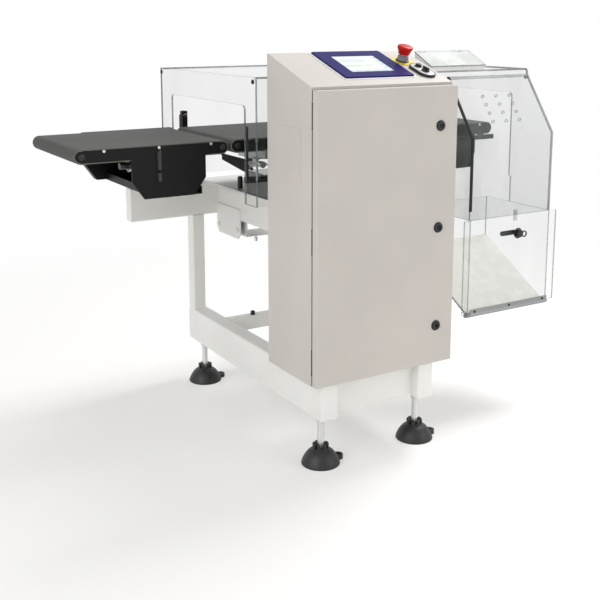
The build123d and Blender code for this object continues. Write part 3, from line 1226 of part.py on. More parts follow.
def hood_profile(inset):
    """The hood's front in side view, inset from its outside."""
    lean = HOOD_SLOPE
    knee = HOOD_KNEE - inset * (1 - sin(lean)) / cos(lean) if inset else HOOD_KNEE
    crest_y = GUARD_FRONT
    crest_z = HOOD_CREST - inset / cos(lean)
    return (HOOD_FRONT + inset, HOOD_FLOOR), (HOOD_FRONT + inset, knee), (crest_y, crest_z)


def reject_hood():
    """The bent clear front of the reject hood with its vent holes, and its left cheek."""
    outer = hood_profile(0)
    inner = hood_profile(GUARD)
    sheet = plate_across([*outer, *inner[::-1]], (HOOD_LEFT, GUARD_RIGHT))
    slope = Plane(origin=(HOOD_LEFT, HOOD_FRONT, HOOD_KNEE), x_dir=(1, 0, 0),
                  z_dir=(0, -sin(HOOD_SLOPE), cos(HOOD_SLOPE)))
    for column in range(VENT_COLUMNS):
        for row in range(VENT_ROWS):
            u = VENT_FIRST_X + column * VENT_PITCH_X
            v = VENT_FIRST_SLOPE + row * VENT_PITCH_SLOPE
            sheet -= slope.location * Pos(u, v, 0) * Cylinder(VENT_RADIUS, 6 * GUARD)
    inset = GUARD
    cheek = [(HOOD_FRONT + inset, HOOD_FLOOR), (GUARD_FRONT, HOOD_FLOOR), (GUARD_FRONT, inner[2][1]),
             inner[1]]
    return group([sheet, plate_across(cheek, (HOOD_LEFT, HOOD_LEFT + GUARD))])


def hood_lid():
    """The sloped lid: a clear sheet with a down-turned front edge and its moving hinge knuckles."""
    front_z = GUARD_ROOF + LID_FRONT
    slope = atan2(LID_RISE, LID_DEPTH)
    t = GUARD - 1
    y0, y1 = GUARD_FRONT, LID_PIN_Y - LID_HINGE_RADIUS - 1
    z1 = front_z + (y1 - y0) * tan(slope)
    lid = plate_across([(y0, front_z), (y1, z1), (y1, z1 + t), (y0, front_z + t)],
                       (LID_LEFT, LID_LEFT + LID_WIDTH))
    for x in lid_hinge_x():
        half = LID_HINGE_LENGTH / 6 - CLEAR
        lid += rod_x((x - half, x + half), LID_PIN_Y, LID_PIN_Z, LID_HINGE_RADIUS)
        lid += plate_across([(y1 - 1, z1), (LID_PIN_Y, LID_PIN_Z - 1), (LID_PIN_Y, LID_PIN_Z + 3),
                             (y1 - 1, z1 + t - 0.4)], (x - half, x + half))
        lid -= rod_x((x - LID_HINGE_LENGTH, x + LID_HINGE_LENGTH), LID_PIN_Y, LID_PIN_Z, 1.5 + FIT)
    return lid


def lid_hinge_x():
    """Middles of the two lid hinges."""
    return LID_LEFT + 35, LID_LEFT + LID_WIDTH - 35


def hood_fittings():
    """The lid's curb and fixed hinge halves on the tunnel roof, and the bin door's keeper."""
    slope = atan2(LID_RISE, LID_DEPTH)
    x = (LID_LEFT, LID_LEFT + LID_WIDTH)
    y = (GUARD_FRONT + GUARD, LID_PIN_Y - LID_HINGE_RADIUS - 2)
    gap = CLEAR / cos(slope)
    z_at = [GUARD_ROOF + LID_FRONT + (value - GUARD_FRONT) * tan(slope) - gap for value in y]
    curb = plate_across([(y[0], GUARD_ROOF), (y[1], GUARD_ROOF), (y[1], z_at[1]), (y[0], z_at[0])], x)
    curb -= block((x[0] + 4, x[1] - 4), (y[0] + 4, y[1] - 4), (GUARD_ROOF - 1, LID_PIN_Z + 9))
    for middle in lid_hinge_x():
        third = LID_HINGE_LENGTH / 3
        pin = rod_x((middle - LID_HINGE_LENGTH / 2, middle + LID_HINGE_LENGTH / 2), LID_PIN_Y, LID_PIN_Z, 1.5)
        for low in (middle - LID_HINGE_LENGTH / 2, middle + LID_HINGE_LENGTH / 2 - third):
            span = (low, low + third)
            pin += rod_x(span, LID_PIN_Y, LID_PIN_Z, LID_HINGE_RADIUS)
            pin += block(span, (LID_PIN_Y - 2, LID_PIN_Y + 2), (GUARD_ROOF, LID_PIN_Z))
            pin += block(span, (y[1] - 3, LID_PIN_Y), (GUARD_ROOF, GUARD_ROOF + 10))
        curb += pin
    keeper = block((BIN_LOCK_X - KEEPER_WIDTH / 2, BIN_LOCK_X + KEEPER_WIDTH / 2),
                   (HOOD_FRONT + GUARD, HOOD_FRONT + GUARD + 3), (HOOD_FLOOR - KEEPER_DROP, HOOD_FLOOR + 14))
    return group([curb, fillet(keeper.edges().filter_by(Axis.Y), 2)])


# Reject bin

def bin_slope():
    """The bin floor's angle."""
    return atan2(BIN_FLOOR_RISE, BIN_DEPTH - BIN_FLAT)


def bin_walls():
    """Clear side walls whose lower edges follow the floor, and the clear back wall."""
    kink = HOOD_FRONT + BIN_FLAT
    side = [(HOOD_FRONT, BIN_BOTTOM + BIN_BAR_HEIGHT), (BIN_BAR_FRONT + 3, BIN_BOTTOM), (kink, BIN_BOTTOM),
            (BIN_BACK, BIN_BOTTOM + BIN_FLOOR_RISE), (BIN_BACK, HOOD_FLOOR), (HOOD_FRONT, HOOD_FLOOR)]
    parts = [plate_across(side, (BIN_LEFT, BIN_LEFT + GUARD)), plate_across(side, (BIN_RIGHT - GUARD, BIN_RIGHT))]
    parts.append(block((BIN_LEFT + GUARD, BIN_RIGHT - GUARD), (BIN_BACK - GUARD, BIN_BACK),
                       (BIN_BOTTOM + BIN_FLOOR_RISE, HOOD_FLOOR)))
    return group(parts)


def bin_floor():
    """The white floor: a short flat at the front, then the slope up to the back wall."""
    kink = HOOD_FRONT + BIN_FLAT
    t = BIN_FLOOR_THICKNESS
    lift = t / cos(bin_slope())
    inner = BIN_BACK
    profile = [(BIN_BAR_FRONT, BIN_BOTTOM), (kink, BIN_BOTTOM), (inner, BIN_BOTTOM + BIN_FLOOR_RISE)]
    upper = [(inner, BIN_BOTTOM + BIN_FLOOR_RISE + lift), (kink - t * tan(bin_slope() / 2), BIN_BOTTOM + t),
             (BIN_BAR_FRONT, BIN_BOTTOM + t)]
    floor = plate_across(profile + upper, (BIN_LEFT + GUARD, BIN_RIGHT - GUARD))
    return floor - block((BIN_LEFT, BIN_RIGHT), (BIN_BACK - GUARD, BIN_BACK + 1),
                         (BIN_BOTTOM + BIN_FLOOR_RISE, HOOD_FLOOR))


def bin_hinge_bar():
    """The fixed grey bar under the bin's front edge, with end cheeks and the long pin."""
    y = (BIN_BAR_FRONT, HOOD_FRONT + BIN_FLAT)
    bar = block((BIN_LEFT, BIN_RIGHT), y, (BIN_BOTTOM - BIN_BAR_HEIGHT, BIN_BOTTOM))
    bar += rod_x((BIN_LEFT, BIN_RIGHT), BIN_PIN_Y, BIN_PIN_Z, BIN_PIN_RADIUS)
    for x in ((BIN_LEFT, BIN_LEFT + BIN_CHEEK), (BIN_RIGHT - BIN_CHEEK, BIN_RIGHT)):
        bar += rod_x(x, BIN_PIN_Y, BIN_PIN_Z, BIN_RAIL_RADIUS - 1.5)
        bar += block(x, (BIN_PIN_Y, y[1]), (BIN_PIN_Z - BIN_RAIL_RADIUS + 1.5, BIN_BOTTOM))
    return bar


def bin_door_rail():
    """The grey rail along the door's lower edge, turning on the long pin."""
    x = (BIN_LEFT + BIN_CHEEK + CLEAR, BIN_RIGHT - BIN_CHEEK - CLEAR)
    rail = rod_x(x, BIN_PIN_Y, BIN_PIN_Z, BIN_RAIL_RADIUS)
    front = BIN_DOOR_BACK - GUARD
    rail += block(x, (front - 2, front), (BIN_PIN_Z, BIN_PIN_Z + BIN_RAIL_RADIUS + BIN_RAIL_LIP))
    rail -= rod_x((x[0] - 1, x[1] + 1), BIN_PIN_Y, BIN_PIN_Z, BIN_PIN_RADIUS + FIT)
    return rail - block((x[0] - 1, x[1] + 1), (front, BIN_DOOR_BACK + 9),
                        (BIN_PIN_Z + BIN_RAIL_RADIUS - 1, BIN_PIN_Z + 40))


def bin_door():
    """The clear door, wider than the bin by an overhang each side."""
    x = (BIN_LEFT - BIN_DOOR_OVERHANG, BIN_RIGHT + BIN_DOOR_OVERHANG)
    y = (BIN_DOOR_BACK - GUARD, BIN_DOOR_BACK)
    door = block(x, y, (BIN_PIN_Z + BIN_RAIL_RADIUS - 1, HOOD_FLOOR))
    return door - rod_y(BIN_LOCK_X, (y[0] - 1, y[1] + 1), BIN_LOCK_Z, LOCK_SHAFT_RADIUS + FIT)


def bin_lock():
    """The bin's lock: knob, shaft, pull ring and a latch arm that lies sideways when unlocked."""
    front = BIN_DOOR_BACK - GUARD - CLEAR
    behind = HOOD_FRONT + GUARD + 3 + CLEAR
    lock = rod_y(BIN_LOCK_X, (front - 13, front), BIN_LOCK_Z, BIN_LOCK_RADIUS)
    lock = chamfer(lock.edges().group_by(Axis.Y)[0], 2.5)
    lock += rod_y(BIN_LOCK_X, (front - 1, behind + 3), BIN_LOCK_Z, LOCK_SHAFT_RADIUS)
    reach = HOOD_FLOOR - BIN_LOCK_Z - 8
    arm = Pos(BIN_LOCK_X - reach / 2, BIN_LOCK_Z) * SlotOverall(reach + 14, 14)
    lock += plate_along(arm, (behind, behind + 3))
    centre = Pos(BIN_LOCK_X + BIN_LOCK_RADIUS + RING_RADIUS / 2, BIN_LOCK_Z - 2)
    ring = centre * (Circle(RING_RADIUS) - Circle(RING_RADIUS - RING_WIRE))
    return lock + plate_along(ring, (front - 9 - RING_WIRE / 2, front - 9 + RING_WIRE / 2))


# Reject diverter

def diverter_actuator():
    """A round rotary actuator with its base plate, standing on the bracket post."""
    top = BELT_TOP + DIVERTER_LIFT - 4
    low = top - ACTUATOR_HEIGHT
    body = rod_z(DIVERTER_X, DIVERTER_Y, (low, top), ACTUATOR_RADIUS)
    body = chamfer(body.edges().group_by(Axis.Z)[-1], 2)
    body += block((DIVERTER_X - ACTUATOR_RADIUS, DIVERTER_X + ACTUATOR_RADIUS),
                  (DIVERTER_Y - ACTUATOR_RADIUS + 6, BASE_BACK), (low - 8, low))
    return body - rod_z(DIVERTER_X, DIVERTER_Y, (low + 10, top + 1), ACTUATOR_SHAFT_RADIUS + FIT)


def diverter_arm():
    """The diverter: shaft, hub and a padded blade that lies along the belt's far edge."""
    low = BELT_TOP + DIVERTER_LIFT
    arm = rod_z(DIVERTER_X, DIVERTER_Y, (low - 4 - ACTUATOR_HEIGHT + 11, low), ACTUATOR_SHAFT_RADIUS)
    arm += rod_z(DIVERTER_X, DIVERTER_Y, (low, low + DIVERTER_HEIGHT), DIVERTER_HUB_RADIUS)
    blade = block((DIVERTER_X, DIVERTER_X + DIVERTER_LENGTH),
                  (DIVERTER_Y - DIVERTER_SHEET / 2, DIVERTER_Y + DIVERTER_SHEET / 2), (low, low + DIVERTER_HEIGHT))
    tip = blade.edges().filter_by(Axis.Y).group_by(Axis.X)[-1]
    return arm + fillet(tip, DIVERTER_TIP)


# Brackets and screws

def support_brackets():
    """Painted brackets between the upper frame and what it carries."""
    parts = []
    lift = TRAY_FLOOR - BRACKET_BAR
    post_x = (UPPER_LEFT + 3, UPPER_LEFT + 3 + POST_SIZE)
    post = block(post_x, (UPPER_FRONT, BASE_BACK), (UPPER_TOP, lift))
    post += block(post_x, (BELT_FAR - TRAY_ARM_REACH, BASE_BACK), (lift, TRAY_FLOOR))
    parts.append(post)
    reach = (UPPER_RIGHT - POST_SIZE, GUARD_RIGHT - GUARD)
    rail_top = GUARD_FLOOR
    rail = tube(reach, (UPPER_FRONT, BASE_BACK), (UPPER_TOP, rail_top), Axis.X, corner=2, wall=TUBE_WALL)
    tray_x = OUTFEED[0] + TRAY_START + 40
    rail += block((tray_x, tray_x + POST_SIZE), (UPPER_FRONT, BASE_BACK), (rail_top, lift))
    rail += block((tray_x, tray_x + POST_SIZE), (BELT_FAR - TRAY_ARM_REACH, BASE_BACK), (lift, TRAY_FLOOR))
    post_low = BELT_TOP + DIVERTER_LIFT - 4 - ACTUATOR_HEIGHT - 8
    rail += block((DIVERTER_X - POST_SIZE / 2, DIVERTER_X + POST_SIZE / 2), (UPPER_FRONT, BASE_BACK),
                  (rail_top, post_low))
    foot = (GUARD_RIGHT - GUARD - 34, GUARD_RIGHT - GUARD)
    rail += block((foot[1] - 4, foot[1]), (UPPER_FRONT, BASE_BACK), (rail_top, rail_top + 35))
    parts.append(rail)
    left = GUARD_LEFT + GUARD
    y = (BASE_BACK - 20, BASE_BACK - 2)
    angle = block((left, left + 30), y, (UPPER_TOP, UPPER_TOP + 4))
    angle += block((left, left + 4), y, (UPPER_TOP, GUARD_FLOOR + 35))
    parts.append(angle)
    arm_edge = ARM_X[1] + ARM_WIDTH / 2
    pad_back = BIN_BACK + BIN_PAD
    arm = tube((arm_edge, BIN_LEFT + BIN_ARM_REACH), (pad_back, pad_back + BIN_ARM_SIZE),
               (UPPER_FLOOR, UPPER_FLOOR + BIN_ARM_SIZE), Axis.X, corner=4)
    arm += block((BIN_LEFT + BIN_PAD_INSET, BIN_LEFT + BIN_ARM_REACH), (BIN_BACK, pad_back),
                 (HOOD_FLOOR - BIN_PAD_HEIGHT, HOOD_FLOOR))
    parts.append(arm)
    hang = ARM_X[0] - ARM_WIDTH / 2
    plate = block((hang - HANGER_SHEET, hang), (UPPER_FRONT - HANGER_LENGTH, UPPER_FRONT),
                  (UPPER_FLOOR - HANGER_HEIGHT * 0.62, UPPER_FLOOR + HANGER_HEIGHT * 0.38))
    plate = chamfer(plate.edges().filter_by(Axis.X).group_by(Axis.Z)[0], 14)
    parts.append(plate)
    return group(parts)


def under_bracket():
    """The folded channel under the arms with its small hanging knob."""
    x = (ARM_X[0] - ARM_WIDTH / 2 + CHANNEL_INSET, ARM_X[1] + ARM_WIDTH / 2 - CHANNEL_INSET)
    y = (UPPER_FRONT - CHANNEL_AHEAD - CHANNEL_LENGTH, UPPER_FRONT - CHANNEL_AHEAD)
    low = UPPER_FLOOR - CHANNEL_DROP
    channel = block(x, y, (low, low + CHANNEL_SHEET))
    for edge in ((x[0], x[0] + CHANNEL_SHEET), (x[1] - CHANNEL_SHEET, x[1])):
        channel += block(edge, y, (low, UPPER_FLOOR))
    channel += rod_z(x[0] + KNOB_FROM_SIDE, y[0] + KNOB_FROM_END, (low - 8, low), 3)
    knob = rod_z(x[0] + KNOB_FROM_SIDE, y[0] + KNOB_FROM_END, (low - 20, low - 8), 6)
    return channel + chamfer(knob.edges(), 1.5)


def screws():
    """Bright screw heads on the side plates and the hanger's bolts."""
    parts = []
    z = BELT_TOP - SIDE_SCREW_DROP
    for span in (INFEED, WEIGH, OUTFEED):
        for x in side_screw_x(span):
            parts.append(button_head(x, SIDE_NEAR, z, -1))
    hang = ARM_X[0] - ARM_WIDTH / 2 - HANGER_SHEET
    middle = UPPER_FRONT - HANGER_LENGTH / 2
    bolt_z = UPPER_FLOOR - HANGER_HEIGHT * 0.62 + HANGER_BOLT_RISE
    for shift in (-0.5, 0.5):
        head = rod_x((hang - BOLT_HEAD_HEIGHT, hang), middle + shift * HANGER_BOLT_PITCH, bolt_z,
                     BOLT_HEAD_RADIUS)
        parts.append(chamfer(head.edges().group_by(Axis.X)[0], 1))
    return group(parts)


def button_head(x, y, z, facing):
    """A low screw head on a face at y, pointing along facing."""
    span = (min(y, y + facing * BUTTON_HEAD_HEIGHT), max(y, y + facing * BUTTON_HEAD_HEIGHT))
    return rod_y(x, span, z, BUTTON_HEAD_RADIUS)


def build_nodes():
    """Every named piece of the machine."""
    nodes = {
        "base_frame": base_frame(),
        "upper_frame": upper_frame(),
        "bed_plate": bed_plate(),
        "foot_pads": feet(foot_pad),
        "under_bracket": under_bracket(),
        "support_brackets": support_brackets(),
        "bright_fasteners": group([feet(foot_stem), screws()]),
        "cabinet_body": cabinet_body(),
        "cabinet_door": cabinet_door(),
        "door_gasket": door_gasket(),
        "door_hinges_fixed": door_hinges_fixed(),
        "door_hinges_moving": door_hinges_moving(),
        "lock_housings": lock_housings(),
        "mounting_plate": mounting_plate(),
        "control_gear": control_gear(),
        "cable_glands": cable_glands(),
        "hmi_bezel": hmi_bezel(),
        "hmi_screen": hmi_screen(),
        "estop_plate": estop_plate(),
        "estop_collar": estop_collar(),
        "estop_plunger": estop_plunger(),
        "estop_head": estop_head(),
        "switch_plate": switch_plate(),
        "push_button": push_button(),
        "selector_knob": selector_knob(),
        "conveyor_frames": conveyor_frames(),
        "conveyor_belts": group(conveyor_belt(span) for span in (INFEED, WEIGH, OUTFEED)),
        "drive_covers": drive_covers(),
        "gearmotors": group(gearmotor(span) for span in (INFEED, OUTFEED)),
        "timing_belts": group(timing_belt(span) for span in (INFEED, OUTFEED)),
        "infeed_motor_shaft": motor_pulley(INFEED),
        "outfeed_motor_shaft": motor_pulley(OUTFEED),
        "weigh_housing": weigh_housing(),
        "load_cell": load_cell(),
        "weigh_platform": weigh_platform(),
        "sensor_stand": sensor_stand(),
        "sensor_clamps": sensor_clamps(),
        "clamp_lever": clamp_lever(),
        "guard_ends": guard_ends(),
        "guard_panels": guard_panels(),
        "reject_hood": reject_hood(),
        "hood_lid": hood_lid(),
        "hood_fittings": hood_fittings(),
        "bin_walls": bin_walls(),
        "bin_floor": bin_floor(),
        "bin_hinge_bar": bin_hinge_bar(),
        "bin_door_rail": bin_door_rail(),
        "bin_door": bin_door(),
        "bin_lock": bin_lock(),
        "diverter_actuator": diverter_actuator(),
        "diverter_arm": diverter_arm(),
    }
    for index, name in enumerate(("bottom", "middle", "top")):
        nodes["lock_cam_" + name] = lock_cam(index)
    for name, span in (("infeed", INFEED), ("weigh", WEIGH), ("outfeed", OUTFEED)):
        idler_x, drive_x = roller_x(span)
        nodes[name + "_idler_roller"] = roller(idler_x, False)
        nodes[name + "_drive_roller"] = roller(drive_x, name != "weigh")
    return nodes


def footprint_shift(nodes):
    """The move that puts the origin under the middle of the machine, on the floor."""
    boxes = [shape.bounding_box() for shape in nodes.values()]
    x = min(box.min.X for box in boxes) + max(box.max.X for box in boxes)
    y = min(box.min.Y for box in boxes) + max(box.max.Y for box in boxes)
    return Location((-x / 2, -y / 2, -min(box.min.Z for box in boxes)))


NODES = build_nodes()
SHIFT = footprint_shift(NODES)

os.makedirs("parts", exist_ok=True)
for node_name, node_shape in NODES.items():
    export_step(SHIFT * node_shape, f"parts/{node_name}.step")
print("nodes", len(NODES), "shift", tuple(round(value, 3) for value in SHIFT.position))
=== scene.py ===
"""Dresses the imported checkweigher: finishes for every node, the small pieces, and the studio round it.

Places are written in the part's own layout, in millimetres: X with the product flow from the door's
left edge, Y from the door's face to the back, Z up from the floor. `at` turns them into the frame.
"""
import json
import logging
import math
from dataclasses import dataclass, field
from enum import Enum
from typing import Callable, Iterable, Sequence

import bmesh
import bpy
from mathutils import Matrix, Vector

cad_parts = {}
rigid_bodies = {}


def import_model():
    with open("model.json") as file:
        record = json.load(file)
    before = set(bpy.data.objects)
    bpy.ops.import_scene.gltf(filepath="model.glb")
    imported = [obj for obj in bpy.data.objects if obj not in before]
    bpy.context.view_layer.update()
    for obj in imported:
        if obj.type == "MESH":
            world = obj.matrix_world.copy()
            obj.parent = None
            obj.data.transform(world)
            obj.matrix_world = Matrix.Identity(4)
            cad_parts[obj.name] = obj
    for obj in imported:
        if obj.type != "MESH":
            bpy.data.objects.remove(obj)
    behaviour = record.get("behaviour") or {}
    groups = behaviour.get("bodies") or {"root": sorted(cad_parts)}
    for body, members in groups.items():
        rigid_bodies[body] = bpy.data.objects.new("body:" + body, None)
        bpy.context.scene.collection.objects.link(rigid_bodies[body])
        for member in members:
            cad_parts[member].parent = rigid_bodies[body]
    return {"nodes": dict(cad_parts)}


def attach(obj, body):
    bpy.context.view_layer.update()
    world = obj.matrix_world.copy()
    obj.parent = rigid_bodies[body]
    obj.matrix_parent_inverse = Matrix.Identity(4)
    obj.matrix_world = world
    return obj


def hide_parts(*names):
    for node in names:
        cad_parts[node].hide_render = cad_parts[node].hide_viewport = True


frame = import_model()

LOG = logging.getLogger("checkweigher")
Triple = tuple[float, float, float]
Pair = tuple[float, float]
Piece = bpy.types.Object
Test = Callable[[bmesh.types.BMFace], bool]
ORIGIN: Triple = (222.0, 416.5, 0.0)
PANEL_SLOPE = math.atan2(74.0, 213.0)
SMOOTH_ANGLE = math.radians(35)
SAME_WAY = 0.9


def at(x: float, y: float, z: float) -> Vector:
    """Turn a place in the layout, in millimetres, into the frame's metres."""
    return Vector(((x - ORIGIN[0]) / 1000, (y - ORIGIN[1]) / 1000, (z - ORIGIN[2]) / 1000))


def linear(red: float, green: float, blue: float) -> Triple:
    """Turn a colour as seen on a screen, 0 to 255, into the shader's linear colour."""
    def one(value: float) -> float:
        """Turn one channel."""
        share = value / 255
        return share / 12.92 if share <= 0.04045 else ((share + 0.055) / 1.055) ** 2.4
    return one(red), one(green), one(blue)


def operator(operation: str, reflected: bool = False) -> Callable[..., "Signal"]:
    """Make a method that adds one Math node; a reflected one takes its own signal second."""
    def method(self: "Signal", other: "Value" = 0.0) -> "Signal":
        """Add the Math node."""
        first, second = (other, self) if reflected else (self, other)
        return self.tree.out("ShaderNodeMath", {"operation": operation}, {0: first, 1: second})
    return method


class Signal:
    """A shader socket that can be used in plain arithmetic."""

    def __init__(self, tree: "NodeTree", socket: bpy.types.NodeSocket) -> None:
        """Keep the socket and the node tree that holds it."""
        self.tree = tree
        self.socket = socket

    __add__, __radd__ = operator("ADD"), operator("ADD", reflected=True)
    __sub__, __rsub__ = operator("SUBTRACT"), operator("SUBTRACT", reflected=True)
    __mul__, __rmul__ = operator("MULTIPLY"), operator("MULTIPLY", reflected=True)
    __abs__, least, wave = operator("ABSOLUTE"), operator("MAXIMUM"), operator("SINE")

    def band(self, low: float, high: float) -> "Signal":
        """Nought below low, one above high, straight between."""
        settings = {"clamp": True}
        return self.tree.out("ShaderNodeMapRange", settings, {0: self, 1: low, 2: high, 3: 0.0, 4: 1.0})


Value = Signal | float | Sequence[float]


class NodeTree:
    """A node tree that nodes are added to by type, settings and inputs."""

    def __init__(self, tree: bpy.types.NodeTree) -> None:
        """Keep the tree's nodes and links."""
        self.nodes = tree.nodes
        self.links = tree.links

    def node(self, kind: str, settings: dict | None = None, inputs: dict | None = None) -> bpy.types.Node:
        """Add any node.

        Args:
            kind: The node's type.
            settings: Its own settings, such as a Math node's operation.
            inputs: Values or signals for its sockets, by name or number.

        Returns:
            The new node.
        """
        node = self.nodes.new(kind)
        for key, value in (settings or {}).items():
            setattr(node, key, value)
        for key, value in (inputs or {}).items():
            self._feed(node.inputs[key], value)
        return node

    def out(self, kind: str, settings: dict | None = None, inputs: dict | None = None,
            output: int | str = 0) -> Signal:
        """Add any node and return one of its outputs as a signal."""
        return Signal(self, self.node(kind, settings, inputs).outputs[output])

    def _feed(self, socket: bpy.types.NodeSocket, value: Value) -> None:
        """Link a signal to a socket, or write a plain value on it."""
        if isinstance(value, Signal):
            self.links.new(value.socket, socket)
        else:
            socket.default_value = value

    def seen(self) -> Signal:
        """One for rays from the camera, off gloss or through glass, and nought for those that light."""
        rays = self.node("ShaderNodeLightPath")
        camera, glossy, through = (Signal(self, rays.outputs[f"Is {kind} Ray"])
                                   for kind in ("Camera", "Glossy", "Transmission"))
        return camera.least(glossy).least(through)


class Recipe(NodeTree):
    """One material's node tree, built round its Principled shader."""

    def __init__(self, name: str) -> None:
        """Start an empty material called name."""
        self.material = bpy.data.materials.new(name)
        self.material.use_nodes = True
        super().__init__(self.material.node_tree)
        self.shader = next(node for node in self.nodes if node.type == "BSDF_PRINCIPLED")

    def place(self) -> Signal:
        """Object coordinates, in metres."""
        return self.out("ShaderNodeTexCoord", output="Object")

    def turned(self, origin: Vector, turn: Triple, stretch: Triple) -> Signal:
        """Object coordinates about another origin, turned and stretched."""
        settings = {"vector_type": "TEXTURE"}
        size = tuple(1 / value for value in stretch)
        return self.out("ShaderNodeMapping", settings,
                        {"Vector": self.place(), "Location": origin, "Rotation": turn, "Scale": size})

    def axes(self, vector: Signal) -> tuple[Signal, Signal, Signal]:
        """Split a vector into its three numbers."""
        node = self.node("ShaderNodeSeparateXYZ", inputs={0: vector})
        return tuple(Signal(self, socket) for socket in node.outputs)

    def noise(self, scale: float, detail: float = 2.0, stretch: Triple = (1.0, 1.0, 1.0)) -> Signal:
        """Soft noise between nought and one, with so many blotches a metre."""
        where = self.turned(Vector((0, 0, 0)), (0.0, 0.0, 0.0), stretch)
        return self.out("ShaderNodeTexNoise", inputs={"Vector": where, "Scale": scale, "Detail": detail})

    def blend(self, share: Value, first: Value, second: Value) -> Signal:
        """Mix two colours by a share."""
        node = self.node("ShaderNodeMix", {"data_type": "RGBA"})
        for index, value in ((0, share), (6, first), (7, second)):
            if isinstance(value, tuple):
                value = (*value, 1.0)
            self._feed(node.inputs[index], value)
        return Signal(self, node.outputs[2])

    def relief(self, height: Signal, strength: float, depth: float) -> Signal:
        """A bump from a height."""
        return self.out("ShaderNodeBump", inputs={"Strength": strength, "Distance": depth, "Height": height},
                        output="Normal")

    def finish(self, **sockets: Value) -> bpy.types.Material:
        """Write the shader's sockets, named with underscores for spaces, and return the material."""
        for name, value in sockets.items():
            if isinstance(value, tuple) and len(value) == 3:
                value = (*value, 1.0)
            self._feed(self.shader.inputs[name.replace("_", " ")], value)
        return self.material


@dataclass(frozen=True)
class Finish:
    """What every finish has.

    Args:
        name: The material's name.
        colour: Its colour as seen, 0 to 255.
        roughness: How matt it is.
        slot: The record's slot for this finish; not used.
    """

    name: str
    colour: Triple
    roughness: float
    slot: str

    def material(self) -> bpy.types.Material:
        """Make the material once, and return the same one after that."""
        name = "finish_" + self.name
        ready = bpy.data.materials.get(name)
        return ready or self.make(Recipe(name))

    def make(self, recipe: Recipe) -> bpy.types.Material:
        """Build the node tree."""
        raise NotImplementedError

    def shade(self, factor: float) -> Triple:
        """The colour, lighter or darker, in linear values."""
        return tuple(min(value * factor, 1.0) for value in linear(*self.colour))


@dataclass(frozen=True)
class PowderCoat(Finish):
    """Baked powder paint: a fine orange peel, faint clouds of tone and dust."""

    grain: float = 850.0
    relief: float = 0.10
    clouds: float = 0.05
    shine: float = 0.3

    def make(self, recipe: Recipe) -> bpy.types.Material:
        """Build the node tree."""
        clouds = recipe.noise(5.0, 3.0)
        specks = recipe.noise(self.grain)
        peel = recipe.noise(self.grain * 0.45, 3.0)
        tone = (clouds * 0.75 + specks * 0.25).band(0.3, 0.7)
        colour = recipe.blend(tone, self.shade(1 - self.clouds), self.shade(1 + self.clouds * 0.6))
        gloss = clouds * 0.12 + specks * 0.10 + (self.roughness - 0.11)
        return recipe.finish(Base_Color=colour, Roughness=gloss, Specular_IOR_Level=self.shine,
                             Normal=recipe.relief(peel, self.relief, 0.0004))


@dataclass(frozen=True)
class Moulded(Finish):
    """Moulded plastic or rubber: a spark-eroded grain and slightly uneven gloss."""

    grain: float = 1500.0
    relief: float = 0.15
    coat: float = 0.0

    def make(self, recipe: Recipe) -> bpy.types.Material:
        """Build the node tree."""
        grain = recipe.noise(self.grain)
        rubbed = recipe.noise(28.0, 4.0).band(0.45, 0.75)
        colour = recipe.blend(rubbed * 0.5, self.shade(0.92), self.shade(1.25))
        gloss = grain * 0.12 + rubbed * 0.08 + (self.roughness - 0.10)
        return recipe.finish(Base_Color=colour, Roughness=gloss, Coat_Weight=self.coat, Coat_Roughness=0.08,
                             Normal=recipe.relief(grain, self.relief, 0.0003))


class Lay(Enum):
    """The way the brush or the tool marks run, as a stretch of the noise."""

    ALONG_X = (0.02, 1.0, 1.0)
    ALL_WAYS = (1.0, 1.0, 1.0)


@dataclass(frozen=True)
class Metal(Finish):
    """Bare or plated metal with marks along one way."""

    lay: Lay = Lay.ALL_WAYS
    marks: float = 900.0
    relief: float = 0.12

    def make(self, recipe: Recipe) -> bpy.types.Material:
        """Build the node tree."""
        marks = recipe.noise(self.marks, 3.0, self.lay.value)
        stains = recipe.noise(18.0, 4.0)
        tone = marks * 0.6 + stains * 0.4
        colour = recipe.blend(tone, self.shade(0.80), self.shade(1.12))
        gloss = marks * 0.18 + stains * 0.10 + (self.roughness - 0.14)
        return recipe.finish(Base_Color=colour, Roughness=gloss, Metallic=1.0,
                             Normal=recipe.relief(marks, self.relief, 0.0002))


@dataclass(frozen=True)
class BeltWeave(Finish):
    """Conveyor belting: a fine diamond weave in the top, rubbed paler down the middle, and pale cut edges."""

    pitch: float = 1.6
    edge: Triple = (112.0, 110.0, 104.0)
    shine: float = 0.3

    def make(self, recipe: Recipe) -> bpy.types.Material:
        """Build the node tree."""
        x, y, _ = recipe.axes(recipe.place())
        turns = 2000 * math.pi / self.pitch
        weave = ((x + y) * turns).wave() * ((x - y) * turns).wave()
        rub = recipe.noise(6.0, 5.0, (0.15, 1.0, 1.0)).band(0.35, 0.7)
        fluff = recipe.noise(700.0)
        tone = rub * 0.45 + fluff * 0.35 + weave * 0.10
        colour = recipe.blend(tone, self.shade(0.80), self.shade(1.35))
        _, across, _ = recipe.axes(recipe.out("ShaderNodeNewGeometry", output="Normal"))
        colour = recipe.blend(abs(across).band(0.8, 0.95), colour, linear(*self.edge))
        height = weave * 0.5 + fluff * 0.5
        return recipe.finish(Base_Color=colour, Roughness=fluff * 0.15 + (self.roughness - 0.08),
                             Specular_IOR_Level=self.shine, Normal=recipe.relief(height, 0.35, 0.0003))


